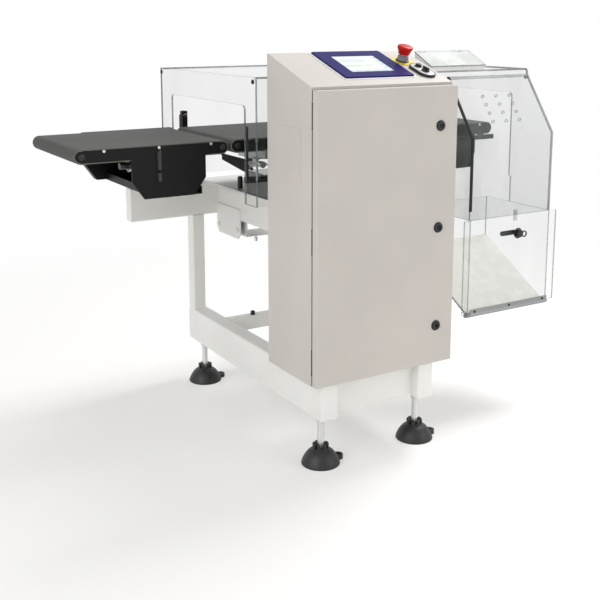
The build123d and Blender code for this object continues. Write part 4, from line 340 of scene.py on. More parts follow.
@dataclass(frozen=True)
class ClearSheet(Finish):
    """Clear acrylic or polycarbonate with faint wiping marks, and painted shade that may make it denser towards a foot.
    """

    body: float = 0.13
    low_painted_shade: float = 0.0
    foot_z: float = 0.56

    def make(self, recipe: Recipe) -> bpy.types.Material:
        """Build the node tree."""
        wipes = recipe.noise(9.0, 4.0, (1.0, 1.0, 0.35))
        haze = wipes.band(0.45, 0.8)
        _, _, height = recipe.axes(recipe.place())
        # painted shade: the sheet grows more opaque, so darker, below foot_z, for the shade and reflection seen low in
        # it
        depth = (1.0 - height.band(self.foot_z, self.foot_z + 0.4)) * self.low_painted_shade + 1.0
        alpha = (haze * 0.5 + 0.8) * depth * self.body
        return recipe.finish(Base_Color=self.shade(1.0), Roughness=haze * 0.10 + self.roughness, Alpha=alpha,
                             IOR=1.49, Specular_IOR_Level=0.8)


@dataclass(frozen=True)
class PlainGloss(Finish):
    """Glossy lacquer or clear-coated plastic."""

    coat: float = 0.6
    shine: float = 0.5
    ior: float = 1.5

    def make(self, recipe: Recipe) -> bpy.types.Material:
        """Build the node tree."""
        clouds = recipe.noise(35.0, 3.0)
        fine = recipe.noise(900.0, 1.0)
        colour = recipe.blend(clouds, self.shade(0.93), self.shade(1.06))
        return recipe.finish(Base_Color=colour, Roughness=clouds * 0.06 + fine * 0.05 + (self.roughness - 0.05),
                             Coat_Weight=self.coat, Coat_Roughness=0.06, Specular_IOR_Level=self.shine,
                             IOR=self.ior, Normal=recipe.relief(fine, 0.04, 0.0002))


@dataclass(frozen=True)
class LitScreen(Finish):
    """A lit touch screen under glass: a pale ground with plain wordless fields.

    Args:
        slope: How steeply the screen lies, in radians.
        middle: Its middle in the layout.
        size: Its width and height in millimetres.
    """

    slope: float = PANEL_SLOPE
    middle: Triple = (225.0, 145.0, 1008.0)
    size: Pair = (166.0, 126.0)
    shine: float = 0.62

    def field(self, across: Signal, up: Signal, low: Pair, high: Pair) -> Signal:
        """One field's mask, from its lower left and upper right corners in millimetres."""
        half_wide, half_high = (high[0] - low[0]) / 2, (high[1] - low[1]) / 2
        sideways = abs(across - (low[0] + high[0]) / 2) - half_wide
        upwards = abs(up - (low[1] + high[1]) / 2) - half_high
        return 1.0 - sideways.least(upwards).band(-0.5, 0.5)

    def make(self, recipe: Recipe) -> bpy.types.Material:
        """Build the node tree."""
        flat = recipe.turned(at(*self.middle), (self.slope, 0.0, 0.0), (1000.0, 1000.0, 1000.0))
        across, up, _ = recipe.axes(flat)
        colour = recipe.blend((up + 60.0) * 0.008, linear(214, 226, 228), linear(232, 240, 240))
        for low, high, tone in self.layout():
            colour = recipe.blend(self.field(across, up, low, high), colour, linear(*tone))
        haze = recipe.noise(30.0, 4.0).band(0.4, 0.8)
        return recipe.finish(Base_Color=recipe.blend(0.6, colour, (0.0, 0.0, 0.0)), Emission_Color=colour,
                             Emission_Strength=self.shine, Roughness=haze * 0.08 + self.roughness,
                             Coat_Weight=1.0, Coat_Roughness=0.04)

    def layout(self) -> list[tuple[Pair, Pair, Triple]]:
        """The fields: a head band, a large pale field, a column of keys and a foot row of keys."""
        wide, high = self.size[0] / 2, self.size[1] / 2
        fields = [((-wide + 3, high - 13), (wide - 3, high - 4), (176.0, 198.0, 208.0)),
                  ((-wide + 6, -high + 26), (wide - 40, high - 18), (240.0, 244.0, 242.0)),
                  ((-wide + 14, 8), (wide - 62, 32), (206.0, 220.0, 222.0)),
                  ((-wide + 14, -20), (wide - 92, -6), (190.0, 214.0, 196.0)),
                  ((wide - 84, -20), (wide - 62, -6), (222.0, 214.0, 190.0))]
        fields += [((wide - 33, high - 36 - 21 * step), (wide - 6, high - 20 - 21 * step), (196.0, 210.0, 216.0))
                   for step in range(4)]
        fields += [((-wide + 6 + 26 * step, -high + 6), (-wide + 27 + 26 * step, -high + 20), (186.0, 202.0, 210.0))
                   for step in range(6)]
        return fields


WHITE_COAT = PowderCoat("white_powder_coat", (238, 238, 235), 0.42, "white_paint")
CABINET_COAT = PowderCoat("warm_grey_powder_coat", (202, 197, 191), 0.5, "cabinet_paint", relief=0.16)
BLACK_COAT = PowderCoat("satin_black_coat", (7, 7, 8), 0.46, "black_paint", clouds=0.12, shine=0.22)
HOUSING_COAT = PlainGloss("weigh_housing_lacquer", (52, 54, 58), 0.20, "housing_grey")
BELT = BeltWeave("belt_weave", (66, 66, 65), 0.66, "belt_dark")
GASKET = Moulded("foam_gasket", (32, 32, 32), 0.85, "black_rubber", grain=500.0, relief=0.5)
TOOTHED = Moulded("toothed_belt_rubber", (30, 30, 30), 0.7, "black_rubber")
BLACK_PLASTIC = Moulded("black_plastic", (17, 17, 18), 0.42, "black_plastic")
FOOT_PLASTIC = Moulded("foot_nylon", (24, 24, 24), 0.5, "black_rubber")
SOCKET_DARK = Moulded("socket_dark", (20, 20, 21), 0.55, "black_plastic")
BUTTON_GREY = Moulded("button_face", (52, 52, 55), 0.34, "black_plastic")
# painted shade: the bin's white plastic floor is given a greyer colour because it lies in shade
BIN_FLOOR_SHADED = Moulded("bin_floor_painted_shade", (216, 215, 210), 0.6, "white_plastic")
# strap faces: partly their own grey, and partly lighter as painted highlight
STRAP_GREY_HIGHLIT = Moulded("strap_grey_painted_highlight", (44, 44, 42), 0.4, "black_plastic")
EYE_GLASS = PlainGloss("eye_glass", (60, 14, 18), 0.08, "black_plastic", coat=1.0)
PILOT_GREEN = PlainGloss("pilot_green", (60, 170, 80), 0.2, "black_plastic")
WHITE_PLASTIC = Moulded("white_plastic", (236, 237, 234), 0.5, "white_plastic")
SEAL_GREY = Moulded("seal_white", (248, 249, 248), 0.6, "white_plastic")
SWITCH_GREY = Moulded("switch_face_grey", (196, 198, 198), 0.42, "grey_case")
GREY_CASE = Moulded("grey_cases", (150, 154, 156), 0.5, "grey_case")
ZINC = Metal("zinc_plate", (222, 223, 224), 0.36, "zinc_steel")
LOCK_STEEL = Metal("blackened_steel", (44, 45, 46), 0.45, "dark_steel")
TURNED = Metal("turned_steel", (188, 189, 190), 0.26, "steel_roller", lay=Lay.ALONG_X)
ALUMINIUM = Metal("anodised_aluminium", (202, 204, 206), 0.38, "aluminium", lay=Lay.ALONG_X)
RAIL_METAL = Metal("rail_aluminium", (150, 152, 152), 0.40, "aluminium", lay=Lay.ALONG_X)
DARK_STEEL = Metal("dark_steel", (84, 86, 88), 0.42, "dark_steel")
BLUE = PlainGloss("bezel_blue", (34, 28, 98), 0.3, "bezel_blue", coat=0.0, ior=1.12)
SCREEN = LitScreen("lit_screen", (226, 234, 234), 0.12, "screen_glass")
YELLOW = PlainGloss("signal_yellow", (222, 203, 40), 0.4, "signal_yellow", coat=0.1)
RED = PlainGloss("signal_red", (190, 12, 15), 0.36, "signal_red", coat=0.0, ior=1.25)
COLLAR = Moulded("collar_grey", (128, 128, 140), 0.45, "collar_grey")
CLEAR = ClearSheet("clear_sheet", (92, 100, 97), 0.06, "clear_sheet", body=0.075)
END_CLEAR = ClearSheet("end_clear_sheet", (120, 130, 126), 0.06, "clear_sheet", body=0.04)
LID_CLEAR = ClearSheet("lid_clear_sheet", (236, 240, 238), 0.12, "clear_sheet", body=0.5)
# the hood's sheet, with painted shade making it denser towards its foot
HOOD_CLEAR = ClearSheet("hood_sheet_painted_shade", (132, 140, 137), 0.06, "clear_sheet", body=0.15, low_painted_shade=0.75)
BIN_CLEAR = ClearSheet("bin_clear_sheet", (148, 162, 155), 0.06, "clear_sheet", body=0.055)
# both edge finishes: the sheets' own tint, made stronger as painted shade for what their cut edges refract
SHEET_EDGE = ClearSheet("sheet_edge", (112, 122, 118), 0.12, "clear_sheet", body=0.62)
PALE_EDGE = ClearSheet("pale_sheet_edge", (172, 182, 178), 0.12, "clear_sheet", body=0.5)

DRESSING: dict[Finish, tuple[str, ...]] = {
    WHITE_COAT: ("base_frame", "upper_frame", "bed_plate", "support_brackets"),
    CABINET_COAT: ("cabinet_body", "cabinet_door"),
    BLACK_COAT: ("conveyor_frames", "drive_covers", "sensor_stand"),
    HOUSING_COAT: ("weigh_housing",),
    BELT: ("conveyor_belts",),
    GASKET: ("door_gasket",),
    TOOTHED: ("timing_belts",),
    BLACK_PLASTIC: ("cable_glands", "switch_plate", "push_button", "selector_knob", "bin_lock",
                    "lock_housings"),
    FOOT_PLASTIC: ("foot_pads",),
    WHITE_PLASTIC: ("diverter_arm", "hood_fittings"),
    BIN_FLOOR_SHADED: ("bin_floor",),
    GREY_CASE: ("control_gear",),
    LOCK_STEEL: ("lock_cam_top", "lock_cam_middle", "lock_cam_bottom", "door_hinges_fixed",
                 "door_hinges_moving"),
    ZINC: ("under_bracket", "bright_fasteners", "mounting_plate", "estop_plunger", "sensor_clamps",
           "clamp_lever"),
    TURNED: ("infeed_motor_shaft", "outfeed_motor_shaft",
             *(f"{belt}_{end}_roller" for belt in ("infeed", "weigh", "outfeed") for end in ("idler", "drive"))),
    ALUMINIUM: ("load_cell", "weigh_platform", "diverter_actuator"),
    RAIL_METAL: ("bin_hinge_bar", "bin_door_rail"),
    DARK_STEEL: ("gearmotors",),
    BLUE: ("hmi_bezel",),
    SCREEN: ("hmi_screen",),
    YELLOW: ("estop_plate",),
    RED: ("estop_head",),
    COLLAR: ("estop_collar",),
    CLEAR: ("guard_panels",),
    LID_CLEAR: ("hood_lid",),
    END_CLEAR: ("guard_ends",),
    HOOD_CLEAR: ("reject_hood",),
    BIN_CLEAR: ("bin_walls", "bin_door"),
}


def dress_nodes() -> int:
    """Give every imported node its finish.

    Returns:
        How many nodes were dressed.
    """
    dressed = 0
    for finish, names in DRESSING.items():
        for name in names:
            node = frame["nodes"][name]
            node.data.materials.clear()
            node.data.materials.append(finish.material())
            dressed += 1
    return dressed


class Axis(Enum):
    """The way a round or flat piece faces, as a turn from lying flat on the floor."""

    X = (0.0, math.pi / 2, 0.0)
    Y = (math.pi / 2, 0.0, 0.0)
    Z = (0.0, 0.0, 0.0)


def deselect() -> None:
    """Leave edit mode and select nothing."""
    if bpy.context.object and bpy.context.object.mode != "OBJECT":
        bpy.ops.object.mode_set(mode="OBJECT")
    bpy.ops.object.select_all(action="DESELECT")


def grasp(piece: Piece) -> None:
    """Select this piece alone and make it active."""
    deselect()
    bpy.context.view_layer.objects.active = piece
    piece.select_set(True)


def modify(piece: Piece, kind: str, **settings: object) -> None:
    """Add a modifier with its settings and apply it."""
    grasp(piece)
    change = piece.modifiers.new("change", kind)
    for key, value in settings.items():
        setattr(change, key, value)
    bpy.ops.object.modifier_apply(modifier=change.name)


def settle(piece: Piece) -> Piece:
    """Write the piece's place, turn and size into its mesh."""
    grasp(piece)
    bpy.ops.object.transform_apply(location=True, rotation=True, scale=True)
    return piece


def block(name: str, low: Triple, high: Triple) -> Piece:
    """Start a block between two corners of the layout."""
    deselect()
    a, b = at(*low), at(*high)
    bpy.ops.mesh.primitive_cube_add(size=1, location=(a + b) / 2)
    piece = bpy.context.object
    piece.name = name
    piece.scale = b - a
    return settle(piece)


def rod(name: str, middle: Triple, radius: float, length: float, axis: Axis, sides: int = 32) -> Piece:
    """Start a round bar about a middle in the layout, sizes in millimetres."""
    deselect()
    bpy.ops.mesh.primitive_cylinder_add(vertices=sides, radius=radius / 1000, depth=length / 1000,
                                        location=at(*middle), rotation=axis.value)
    piece = bpy.context.object
    piece.name = name
    return settle(piece)


def pick(piece: Piece, test: Test) -> int:
    """Go into edit mode with only the faces that pass the test selected.

    Args:
        piece: The object to edit.
        test: Says of a face whether it is wanted.

    Returns:
        How many faces are selected.
    """
    grasp(piece)
    bpy.ops.object.mode_set(mode="EDIT")
    bpy.ops.mesh.select_mode(type="FACE")
    bpy.ops.mesh.select_all(action="DESELECT")
    mesh = bmesh.from_edit_mesh(piece.data)
    mesh.faces.ensure_lookup_table()
    chosen = [face for face in mesh.faces if test(face)]
    for face in chosen:
        face.select_set(True)
    bmesh.update_edit_mesh(piece.data)
    return len(chosen)


def facing(x: float = 0.0, y: float = 0.0, z: float = 0.0) -> Test:
    """A test for faces that look one way."""
    way = Vector((x, y, z)).normalized()
    return lambda face: face.normal.dot(way) > SAME_WAY


def inset(piece: Piece, test: Test, width: float, sink: float = 0.0) -> None:
    """Inset the faces that pass the test, and push the new middle in by sink, both in millimetres."""
    if pick(piece, test):
        bpy.ops.mesh.inset(thickness=width / 1000, depth=-sink / 1000)
    bpy.ops.object.mode_set(mode="OBJECT")


def sink_well(piece: Piece, test: Test, width: float, depth: float) -> None:
    """Cut a straight-walled well into the faces that pass the test, sizes in millimetres."""
    if pick(piece, test):
        bpy.ops.mesh.inset(thickness=width / 1000)
        bpy.ops.mesh.extrude_region_shrink_fatten(TRANSFORM_OT_shrink_fatten={"value": -depth / 1000})
    bpy.ops.object.mode_set(mode="OBJECT")


def ease(piece: Piece, width: float, segments: int = 2, angle: float = 40.0) -> Piece:
    """Round the sharp edges with an applied Bevel, and shade the piece smooth by angle."""
    modify(piece, "BEVEL", width=width / 1000, segments=segments, limit_method="ANGLE",
           angle_limit=math.radians(angle), harden_normals=False)
    bpy.ops.object.shade_smooth_by_angle(angle=SMOOTH_ANGLE)
    return piece


def faced(name: str, low: Triple, high: Triple, test: Test, width: float, sink: float, rounding: float) -> Piece:
    """A block with one face inset and sunk, and its sharp edges rounded."""
    piece = block(name, low, high)
    inset(piece, test, width, sink)
    return ease(piece, rounding)


def polyline(name: str, points: Sequence[Pair], closed: bool = False) -> Piece:
    """Start a piece from a line of (radius, height) points in millimetres, and stay in edit mode."""
    deselect()
    bpy.ops.mesh.primitive_plane_add(size=1, location=(0, 0, 0))
    piece = bpy.context.object
    piece.name = name
    bpy.ops.object.mode_set(mode="EDIT")
    mesh = bmesh.from_edit_mesh(piece.data)
    bmesh.ops.delete(mesh, geom=list(mesh.verts), context="VERTS")
    verts = [mesh.verts.new((radius / 1000, 0.0, height / 1000)) for radius, height in points]
    for first, second in zip(verts, verts[1:] + verts[:1] if closed else verts[1:]):
        mesh.edges.new((first, second))
    bmesh.update_edit_mesh(piece.data)
    return piece


def spun(name: str, middle: Triple, outline: Sequence[Pair], axis: Axis, sides: int = 48) -> Piece:
    """Spin an outline of (radius, height) points in millimetres into a closed round body.

    Args:
        name: The piece's name.
        middle: Where height nought of its axis stands in the layout.
        outline: The points from the bottom middle round to the top middle.
        axis: The way the height runs.
        sides: How many steps a full turn has.

    Returns:
        The finished body.
    """
    piece = polyline(name, outline)
    bpy.ops.mesh.select_all(action="SELECT")
    bpy.ops.mesh.spin(steps=sides, angle=2 * math.pi, center=(0, 0, 0), axis=(0, 0, 1))
    bpy.ops.mesh.select_all(action="SELECT")
    bpy.ops.mesh.remove_doubles(threshold=0.000005)
    bpy.ops.mesh.normals_make_consistent(inside=False)
    bpy.ops.object.mode_set(mode="OBJECT")
    piece.rotation_euler = axis.value
    piece.location = at(*middle)
    settle(piece)
    bpy.ops.object.shade_smooth_by_angle(angle=SMOOTH_ANGLE)
    return piece


def carve(piece: Piece, tool: Piece, operation: str = "DIFFERENCE") -> None:
    """Cut one piece out of another, or melt the two together, and throw the tool away."""
    modify(piece, "BOOLEAN", operation=operation, solver="EXACT", object=tool)
    bpy.data.objects.remove(tool)


def repeat(piece: Piece, shifts: Iterable[Triple]) -> list[Piece]:
    """Copy a finished piece, each copy with its own mesh, shifted by millimetres."""
    copies = []
    for number, shift in enumerate(shifts, 1):
        twin = piece.copy()
        twin.data = piece.data.copy()
        twin.name = f"{piece.name}_{number}"
        twin.data.transform(Matrix.Translation(Vector(shift) / 1000))
        bpy.context.collection.objects.link(twin)
        copies.append(twin)
    return copies


def join(name: str, pieces: Sequence[Piece]) -> Piece:
    """Join pieces that belong together into one."""
    deselect()
    for piece in pieces:
        piece.select_set(True)
    bpy.context.view_layer.objects.active = pieces[0]
    if len(pieces) > 1:
        bpy.ops.object.join()
    pieces[0].name = name
    return pieces[0]


def hand_over(piece: Piece, finish: Finish, body: str = "machine") -> None:
    """Dress a finished piece and let it ride on its body."""
    piece.data.materials.clear()
    piece.data.materials.append(finish.material())
    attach(piece, body)


def hand_out(first: Piece, shifts: Iterable[Triple], finish: Finish, body: str = "machine") -> None:
    """Repeat a piece at the shifts, and hand over every one of them."""
    for each in (first, *repeat(first, shifts)):
        hand_over(each, finish, body)


@dataclass(frozen=True)
class Turning:
    """One kind of small turned piece, spun once and copied to its other places.

    Args:
        name: The first one's name; the others add a number.
        finish: What it wears.
        axis: The way its height runs.
        sides: How many steps a full turn has.
        places: Where height nought stands in the layout, for each of them.
        outline: The (radius, height) points from the bottom middle round.
        body: The body that it rides on.
    """

    name: str
    finish: Finish
    axis: Axis
    sides: int
    places: tuple[Triple, ...]
    outline: tuple[Pair, ...]
    body: str = "machine"

    def build(self) -> None:
        """Make every one of them."""
        start = self.places[0]
        moves = [tuple(there - here for here, there in zip(start, place)) for place in self.places[1:]]
        hand_out(spun(self.name, start, self.outline, self.axis, self.sides), moves, self.finish, self.body)


TURNINGS = (
    # the flat seal that shows round each lock's housing on the door's face
    Turning("lock_ring", BLACK_PLASTIC, Axis.Y, 40, tuple((366.0, 0.0, z) for z in (332.0, 593.5, 855.0)),
            ((12.0, -0.3), (13.9, -0.3), (14.0, 0.7), (13.3, 1.5), (12.0, 1.8), (12.0, -0.3)), "door"),
    # black caps over the roller shafts on the near side plates
    Turning("shaft_cap", SOCKET_DARK, Axis.Y, 28,
            tuple((x, 351.0, 790.0) for x in (-449.0, -71.0, -27.0, 417.0, 461.0, 839.0)),
            ((0.0, 0.0), (8.0, 0.0), (8.2, 1.2), (7.4, 2.2), (4.5, 2.9), (0.0, 3.1))),
    # the ring round the lock on the bin's door, and the countersunk screws along its lower rail
    Turning("lock_rose", BLACK_PLASTIC, Axis.Y, 40, ((760.0, 120.0, 511.0),),
            ((11.6, 0.0), (15.6, 0.0), (15.8, 0.8), (14.8, 2.2), (12.4, 2.6), (11.6, 2.0), (11.6, 0.0)), "bin_front"),
    Turning("rail_screw", LOCK_STEEL, Axis.Y, 24, tuple((x, 117.0, 300.0) for x in (604.0, 735.0, 867.0)),
            ((0.0, -0.6), (3.4, -0.6), (3.4, 0.1), (3.2, 0.3), (1.6, 0.2), (1.6, -0.4), (0.0, -0.4)), "bin_front"),
    # the photo-eye's lens, which looks across the belt, and the pilot lamp on top of its post
    Turning("eye_lens", EYE_GLASS, Axis.Y, 36, ((-10.0, 719.5, 840.0),),
            ((0.0, 0.0), (5.4, 0.0), (5.6, 0.9), (5.0, 1.5), (4.2, 1.5), (3.9, 0.8), (2.6, 1.3), (0.0, 1.6))),
    Turning("pilot_lamp", PILOT_GREEN, Axis.Z, 24, ((-10.0, 728.0, 853.0),),
            ((0.0, 0.0), (2.4, 0.0), (2.4, 0.7), (2.0, 1.5), (1.1, 2.0), (0.0, 2.2))),
    # socket screws in the two bright clamps
    Turning("clamp_screw", LOCK_STEEL, Axis.Y, 24,
            ((-2.5, 322.5, 756.0), (53.5, 322.5, 756.0), (-2.5, 322.5, 732.0)),
            ((0.0, 0.0), (3.2, 0.0), (3.2, 2.2), (2.9, 2.6), (1.5, 2.6), (1.5, 0.8), (0.0, 0.8))),
    # four socket screws in the diverter actuator's top
    Turning("actuator_screw", LOCK_STEEL, Axis.Z, 20,
            tuple((x, y, 808.0) for y in (724.0, 750.0) for x in (542.0, 568.0)),
            ((0.0, -0.4), (2.9, -0.4), (3.0, 1.2), (2.6, 1.6), (1.5, 1.6), (1.5, 0.4), (0.0, 0.4))),
)


@dataclass
class OperatorPanel:
    """The sloped top's own pieces: screen surround, switch face, the controls' trim and the stop's head."""

    slope: float = PANEL_SLOPE
    edge: Pair = (25.0, 962.0)
    screen: Pair = (225.0, 127.0)
    unit: Pair = (210.0, 174.0)
    stop: Pair = (364.0, 146.0)
    switch: Pair = (376.0, 72.0)
    switch_size: Pair = (46.0, 86.0)
    controls: Pair = (92.0, 60.0)
    well_radius: float = 10.6
    face_lift: float = 6.2
    ring_lift: float = 6.4
    dish_lift: float = 13.95
    pointer_lift: float = 18.35
    head_radius: float = 20.5
    head_height: float = 23.0
    head_lift: float = 20.5
    stop_ring_lift: float = 1.55

    def lay(self, piece: Piece, x: float, along: float, lift: float = 0.0) -> Piece:
        """Stand a piece made at the layout's origin on the slope, so far up it and off the sheet."""
        y = self.edge[0] + along * math.cos(self.slope) - lift * math.sin(self.slope)
        z = self.edge[1] + along * math.sin(self.slope) + lift * math.cos(self.slope)
        piece.data.transform(Matrix.Translation(-at(0, 0, 0)))
        piece.rotation_euler = (self.slope, 0.0, 0.0)
        piece.location = at(x, y, z)
        return settle(piece)

    def turned(self, name: str, outline: Sequence[Pair], place: Pair, lift: float, finish: Finish,
               body: str = "machine", sides: int = 48) -> None:
        """Spin a piece and stand it on the slope."""
        hand_over(self.lay(spun(name, (0, 0, 0), outline, Axis.Z, sides), *place, lift), finish, body)

    def rounded_slab(self, name: str, size: Pair, corner: float, height: float, segments: int = 6) -> Piece:
        """A flat slab with rounded upright corners, standing on the layout's origin."""
        half = size[0] / 2, size[1] / 2
        slab = block(name, (-half[0], -half[1], 0.0), (half[0], half[1], height))
        grasp(slab)
        bpy.ops.object.mode_set(mode="EDIT")
        bpy.ops.mesh.select_mode(type="EDGE")
        bpy.ops.mesh.select_all(action="DESELECT")
        mesh = bmesh.from_edit_mesh(slab.data)
        for edge in mesh.edges:
            way = (edge.verts[0].co - edge.verts[1].co).normalized()
            edge.select_set(abs(way.z) > SAME_WAY)
        bmesh.update_edit_mesh(slab.data)
        bpy.ops.mesh.bevel(offset=corner / 1000, segments=segments)
        bpy.ops.object.mode_set(mode="OBJECT")
        return slab

    def screen_surround(self) -> None:
        """The pale seal that shows as a thin rim round the blue bezel."""
        rim = self.rounded_slab("screen_seal", (self.unit[0] + 9, self.unit[1] + 9), 9.0, 1.6)
        inset(rim, facing(z=1), 2.0)
        ease(rim, 0.5)
        hand_over(self.lay(rim, *self.screen), SEAL_GREY)

    def switch_face(self) -> None:
        """The pale face let into the oval pad, with a well for each control."""
        wide, long = self.switch_size[0] - 7.0, self.switch_size[1] - 7.0
        face = self.rounded_slab("switch_face", (wide, long), wide / 2 - 0.01, 0.9, segments=14)
        for along in self.controls:
            carve(face, rod("cutter", (0.0, along - self.switch[1], 0.0), self.well_radius, 8.0, Axis.Z, 40))
        ease(face, 0.25)
        hand_over(self.lay(face, *self.switch, self.face_lift), SWITCH_GREY)

    def control_trim(self) -> None:
        """A ring round each control, the push button's dished face and the line on the selector's grip."""
        ring = [(9.0, 0.0), (10.9, 0.0), (11.2, 0.5), (10.9, 1.3), (10.2, 1.7), (9.3, 1.5), (9.0, 0.0)]
        for number, along in enumerate(self.controls):
            self.turned(f"control_ring_{number}", ring, (self.switch[0], along), self.ring_lift, BLACK_PLASTIC)
        dish = [(0.0, 0.0), (6.4, 0.0), (6.4, 0.35), (5.6, 0.6), (4.4, 0.45), (2.0, 0.3), (0.0, 0.26)]
        self.turned("button_face", dish, (self.switch[0], self.controls[0]), self.dish_lift, BUTTON_GREY, "button")
        line = faced("selector_pointer", (-0.8, 1.5, 0.0), (0.8, 8.6, 0.35), facing(z=1), 0.2, 0.0, 0.15)
        hand_over(self.lay(line, self.switch[0], self.controls[1], self.pointer_lift), WHITE_PLASTIC, "selector")

    def stop_head(self) -> None:
        """The red mushroom head, with three finger hollows in its skirt."""
        r, h = self.head_radius, self.head_height
        dome = ((0.80, 0.30), (0.88, 0.45), (0.955, 0.58), (0.99, 0.68), (1.0, 0.76), (0.98, 0.84), (0.92, 0.905),
                (0.82, 0.945), (0.6, 0.975), (0.3, 0.992), (0.0, 1.0))
        outline = [(6.2, 0.0), (r * 0.70, 0.0), (r * 0.73, 0.5), *((r * wide, h * up) for wide, up in dome),
                   (0.0, 8.4), (6.2, 8.4), (6.2, 0.0)]
        head = spun("stop_head", (0, 0, 0), outline, Axis.Z, 72)
        for turn in range(3):
            way = math.radians(120 * turn + 60)
            middle = (r * 1.45 * math.cos(way), r * 1.45 * math.sin(way), 14.0)
            carve(head, rod("cutter", middle, r * 0.5, 60.0, Axis.Z, 40))
        ease(head, 0.5, 2, 32.0)
        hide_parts("estop_head")
        hand_over(self.lay(head, *self.stop, self.head_lift), RED, "stop_head")

    def build(self) -> None:
        """Build all of the panel's pieces, the ridged ring at the foot of the stop's collar among them."""
        self.screen_surround()
        self.switch_face()
        self.control_trim()
        self.stop_head()
        ring = [(14.6, 0.0), (18.0, 0.0), (18.2, 0.8), (17.4, 2.2), (15.4, 2.8), (14.6, 2.6), (14.6, 0.0)]
        self.turned("stop_ring", ring, self.stop, self.stop_ring_lift, BLACK_PLASTIC, sides=36)


@dataclass
class Feet:
    """Screw threads on the stems, and the domed pads with their bolt lugs."""

    across: Pair = (52.5, 352.5)
    along: Pair = (63.0, 745.0)
    stem: float = 8.0
    pitch: float = 2.0
    low: float = 55.0
    high: float = 114.0

    def shifts(self) -> list[Triple]:
        """The moves from the first foot to each of the other three."""
        return [(x - self.across[0], y - self.along[0], 0.0) for x in self.across for y in self.along][1:]

    def thread(self) -> Piece:
        """One stem's thread: a small ridge wound up the rod."""
        ring = [(self.stem - 0.25, 0.0), (self.stem + 0.55, self.pitch * 0.42), (self.stem - 0.25, self.pitch * 0.84)]
        ridge = polyline("stem_thread", ring, closed=True)
        modify(ridge, "SCREW", screw_offset=self.pitch / 1000, steps=20, render_steps=20,
               iterations=int((self.high - self.low) / self.pitch))
        if pick(ridge, lambda face: True):
            bpy.ops.mesh.normals_make_consistent(inside=False)
            bpy.ops.mesh.select_mode(type="EDGE")
            bpy.ops.mesh.select_all(action="DESELECT")
            bpy.ops.mesh.select_non_manifold()
            bpy.ops.mesh.fill()
        bpy.ops.object.mode_set(mode="OBJECT")
        ridge.location = at(self.across[0], self.along[0], self.low)
        return settle(ridge)

    def pad(self) -> Piece:
        """A pad: a domed skirt with a bolt lug, under a collar with eight notches."""
        x, y = self.across[0], self.along[0]
        outline = [(8.5, 22.0), (8.5, 54.0), (19.5, 54.0), (21.0, 52.8), (21.0, 41.0), (23.5, 38.6), (28.5, 36.2),
                   (33.5, 32.0), (38.5, 26.0), (43.0, 19.0), (46.8, 11.5), (49.2, 5.5), (50.0, 1.6), (49.3, 0.1),
                   (46.0, 0.1), (44.5, 3.0), (38.0, 14.0), (28.0, 21.0), (8.5, 22.0)]
        dome = spun("foot_pad_dome", (x, y, 0.0), outline, Axis.Z, 64)
        middle = Matrix.Translation(at(x, y, 0.0))
        for turn in range(4):
            notch = block("notch", (x - 30.0, y - 3.2, 42.5), (x + 30.0, y + 3.2, 60.0))
            way = Matrix.Rotation(math.radians(45 * turn + 22.5), 4, "Z")
            notch.data.transform(middle @ way @ middle.inverted())
            carve(dome, notch)
        lug = rod("foot_lug", (x + 53.0, y, 6.0), 13.0, 12.0, Axis.Z, 40)
        carve(lug, block("bridge", (x + 34.0, y - 13.0, 0.0), (x + 53.0, y + 13.0, 12.0)), "UNION")
        carve(lug, rod("lug_hole", (x + 53.0, y, 6.0), 5.5, 30.0, Axis.Z, 24))
        ease(lug, 1.4, 3)
        ease(dome, 0.6, 2)
        return join("foot_pad", [dome, lug])

    def build(self) -> None:
        """Build the threads, and all four pads as one piece, which stands for the plain ones."""
        hand_out(self.thread(), self.shifts(), ZINC)
        first = self.pad()
        whole = join("foot_pads_domed", [first, *repeat(first, self.shifts())])
        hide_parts("foot_pads")
        hand_over(whole, FOOT_PLASTIC)


@dataclass
class CabinetTrim:
    """The cabinet's own small pieces: the left side's cover, and dark strips in the door's gap as painted shade."""

    cover_y: Pair = (76.0, 190.0)
    cover_z: Pair = (724.0, 861.0)
    cover_out: float = 0.9
    gap_x: Pair = (0.9, 5.6)
    gap_y: Pair = (20.5, 24.5)
    gap_z: tuple[Pair, ...] = ((231.0, 255.0), (325.0, 558.0), (626.0, 860.0), (930.0, 954.0))

    def build(self) -> None:
        """Build the thin blanking cover, and the dark strips beside the door between its hinges, painted shade for the
        gap.
        """
        (near, far), (low, high) = self.cover_y, self.cover_z
        left = facing(x=-1)
        cover = faced("side_cover", (-self.cover_out, near, low), (0.0, far, high), left, 1.4, 0.0, 0.5)
        hand_over(cover, CABINET_COAT)
        # painted shade: dark strips fill the door's gap, which shows dark only from its shade
        corners = [tuple(zip(self.gap_x, self.gap_y, span)) for span in self.gap_z]
        strips = [faced(f"gap_seal_{number}", *pair, left, 1.2, 0.6, 0.4) for number, pair in enumerate(corners)]
        hand_over(join("gap_seal", strips), GASKET)


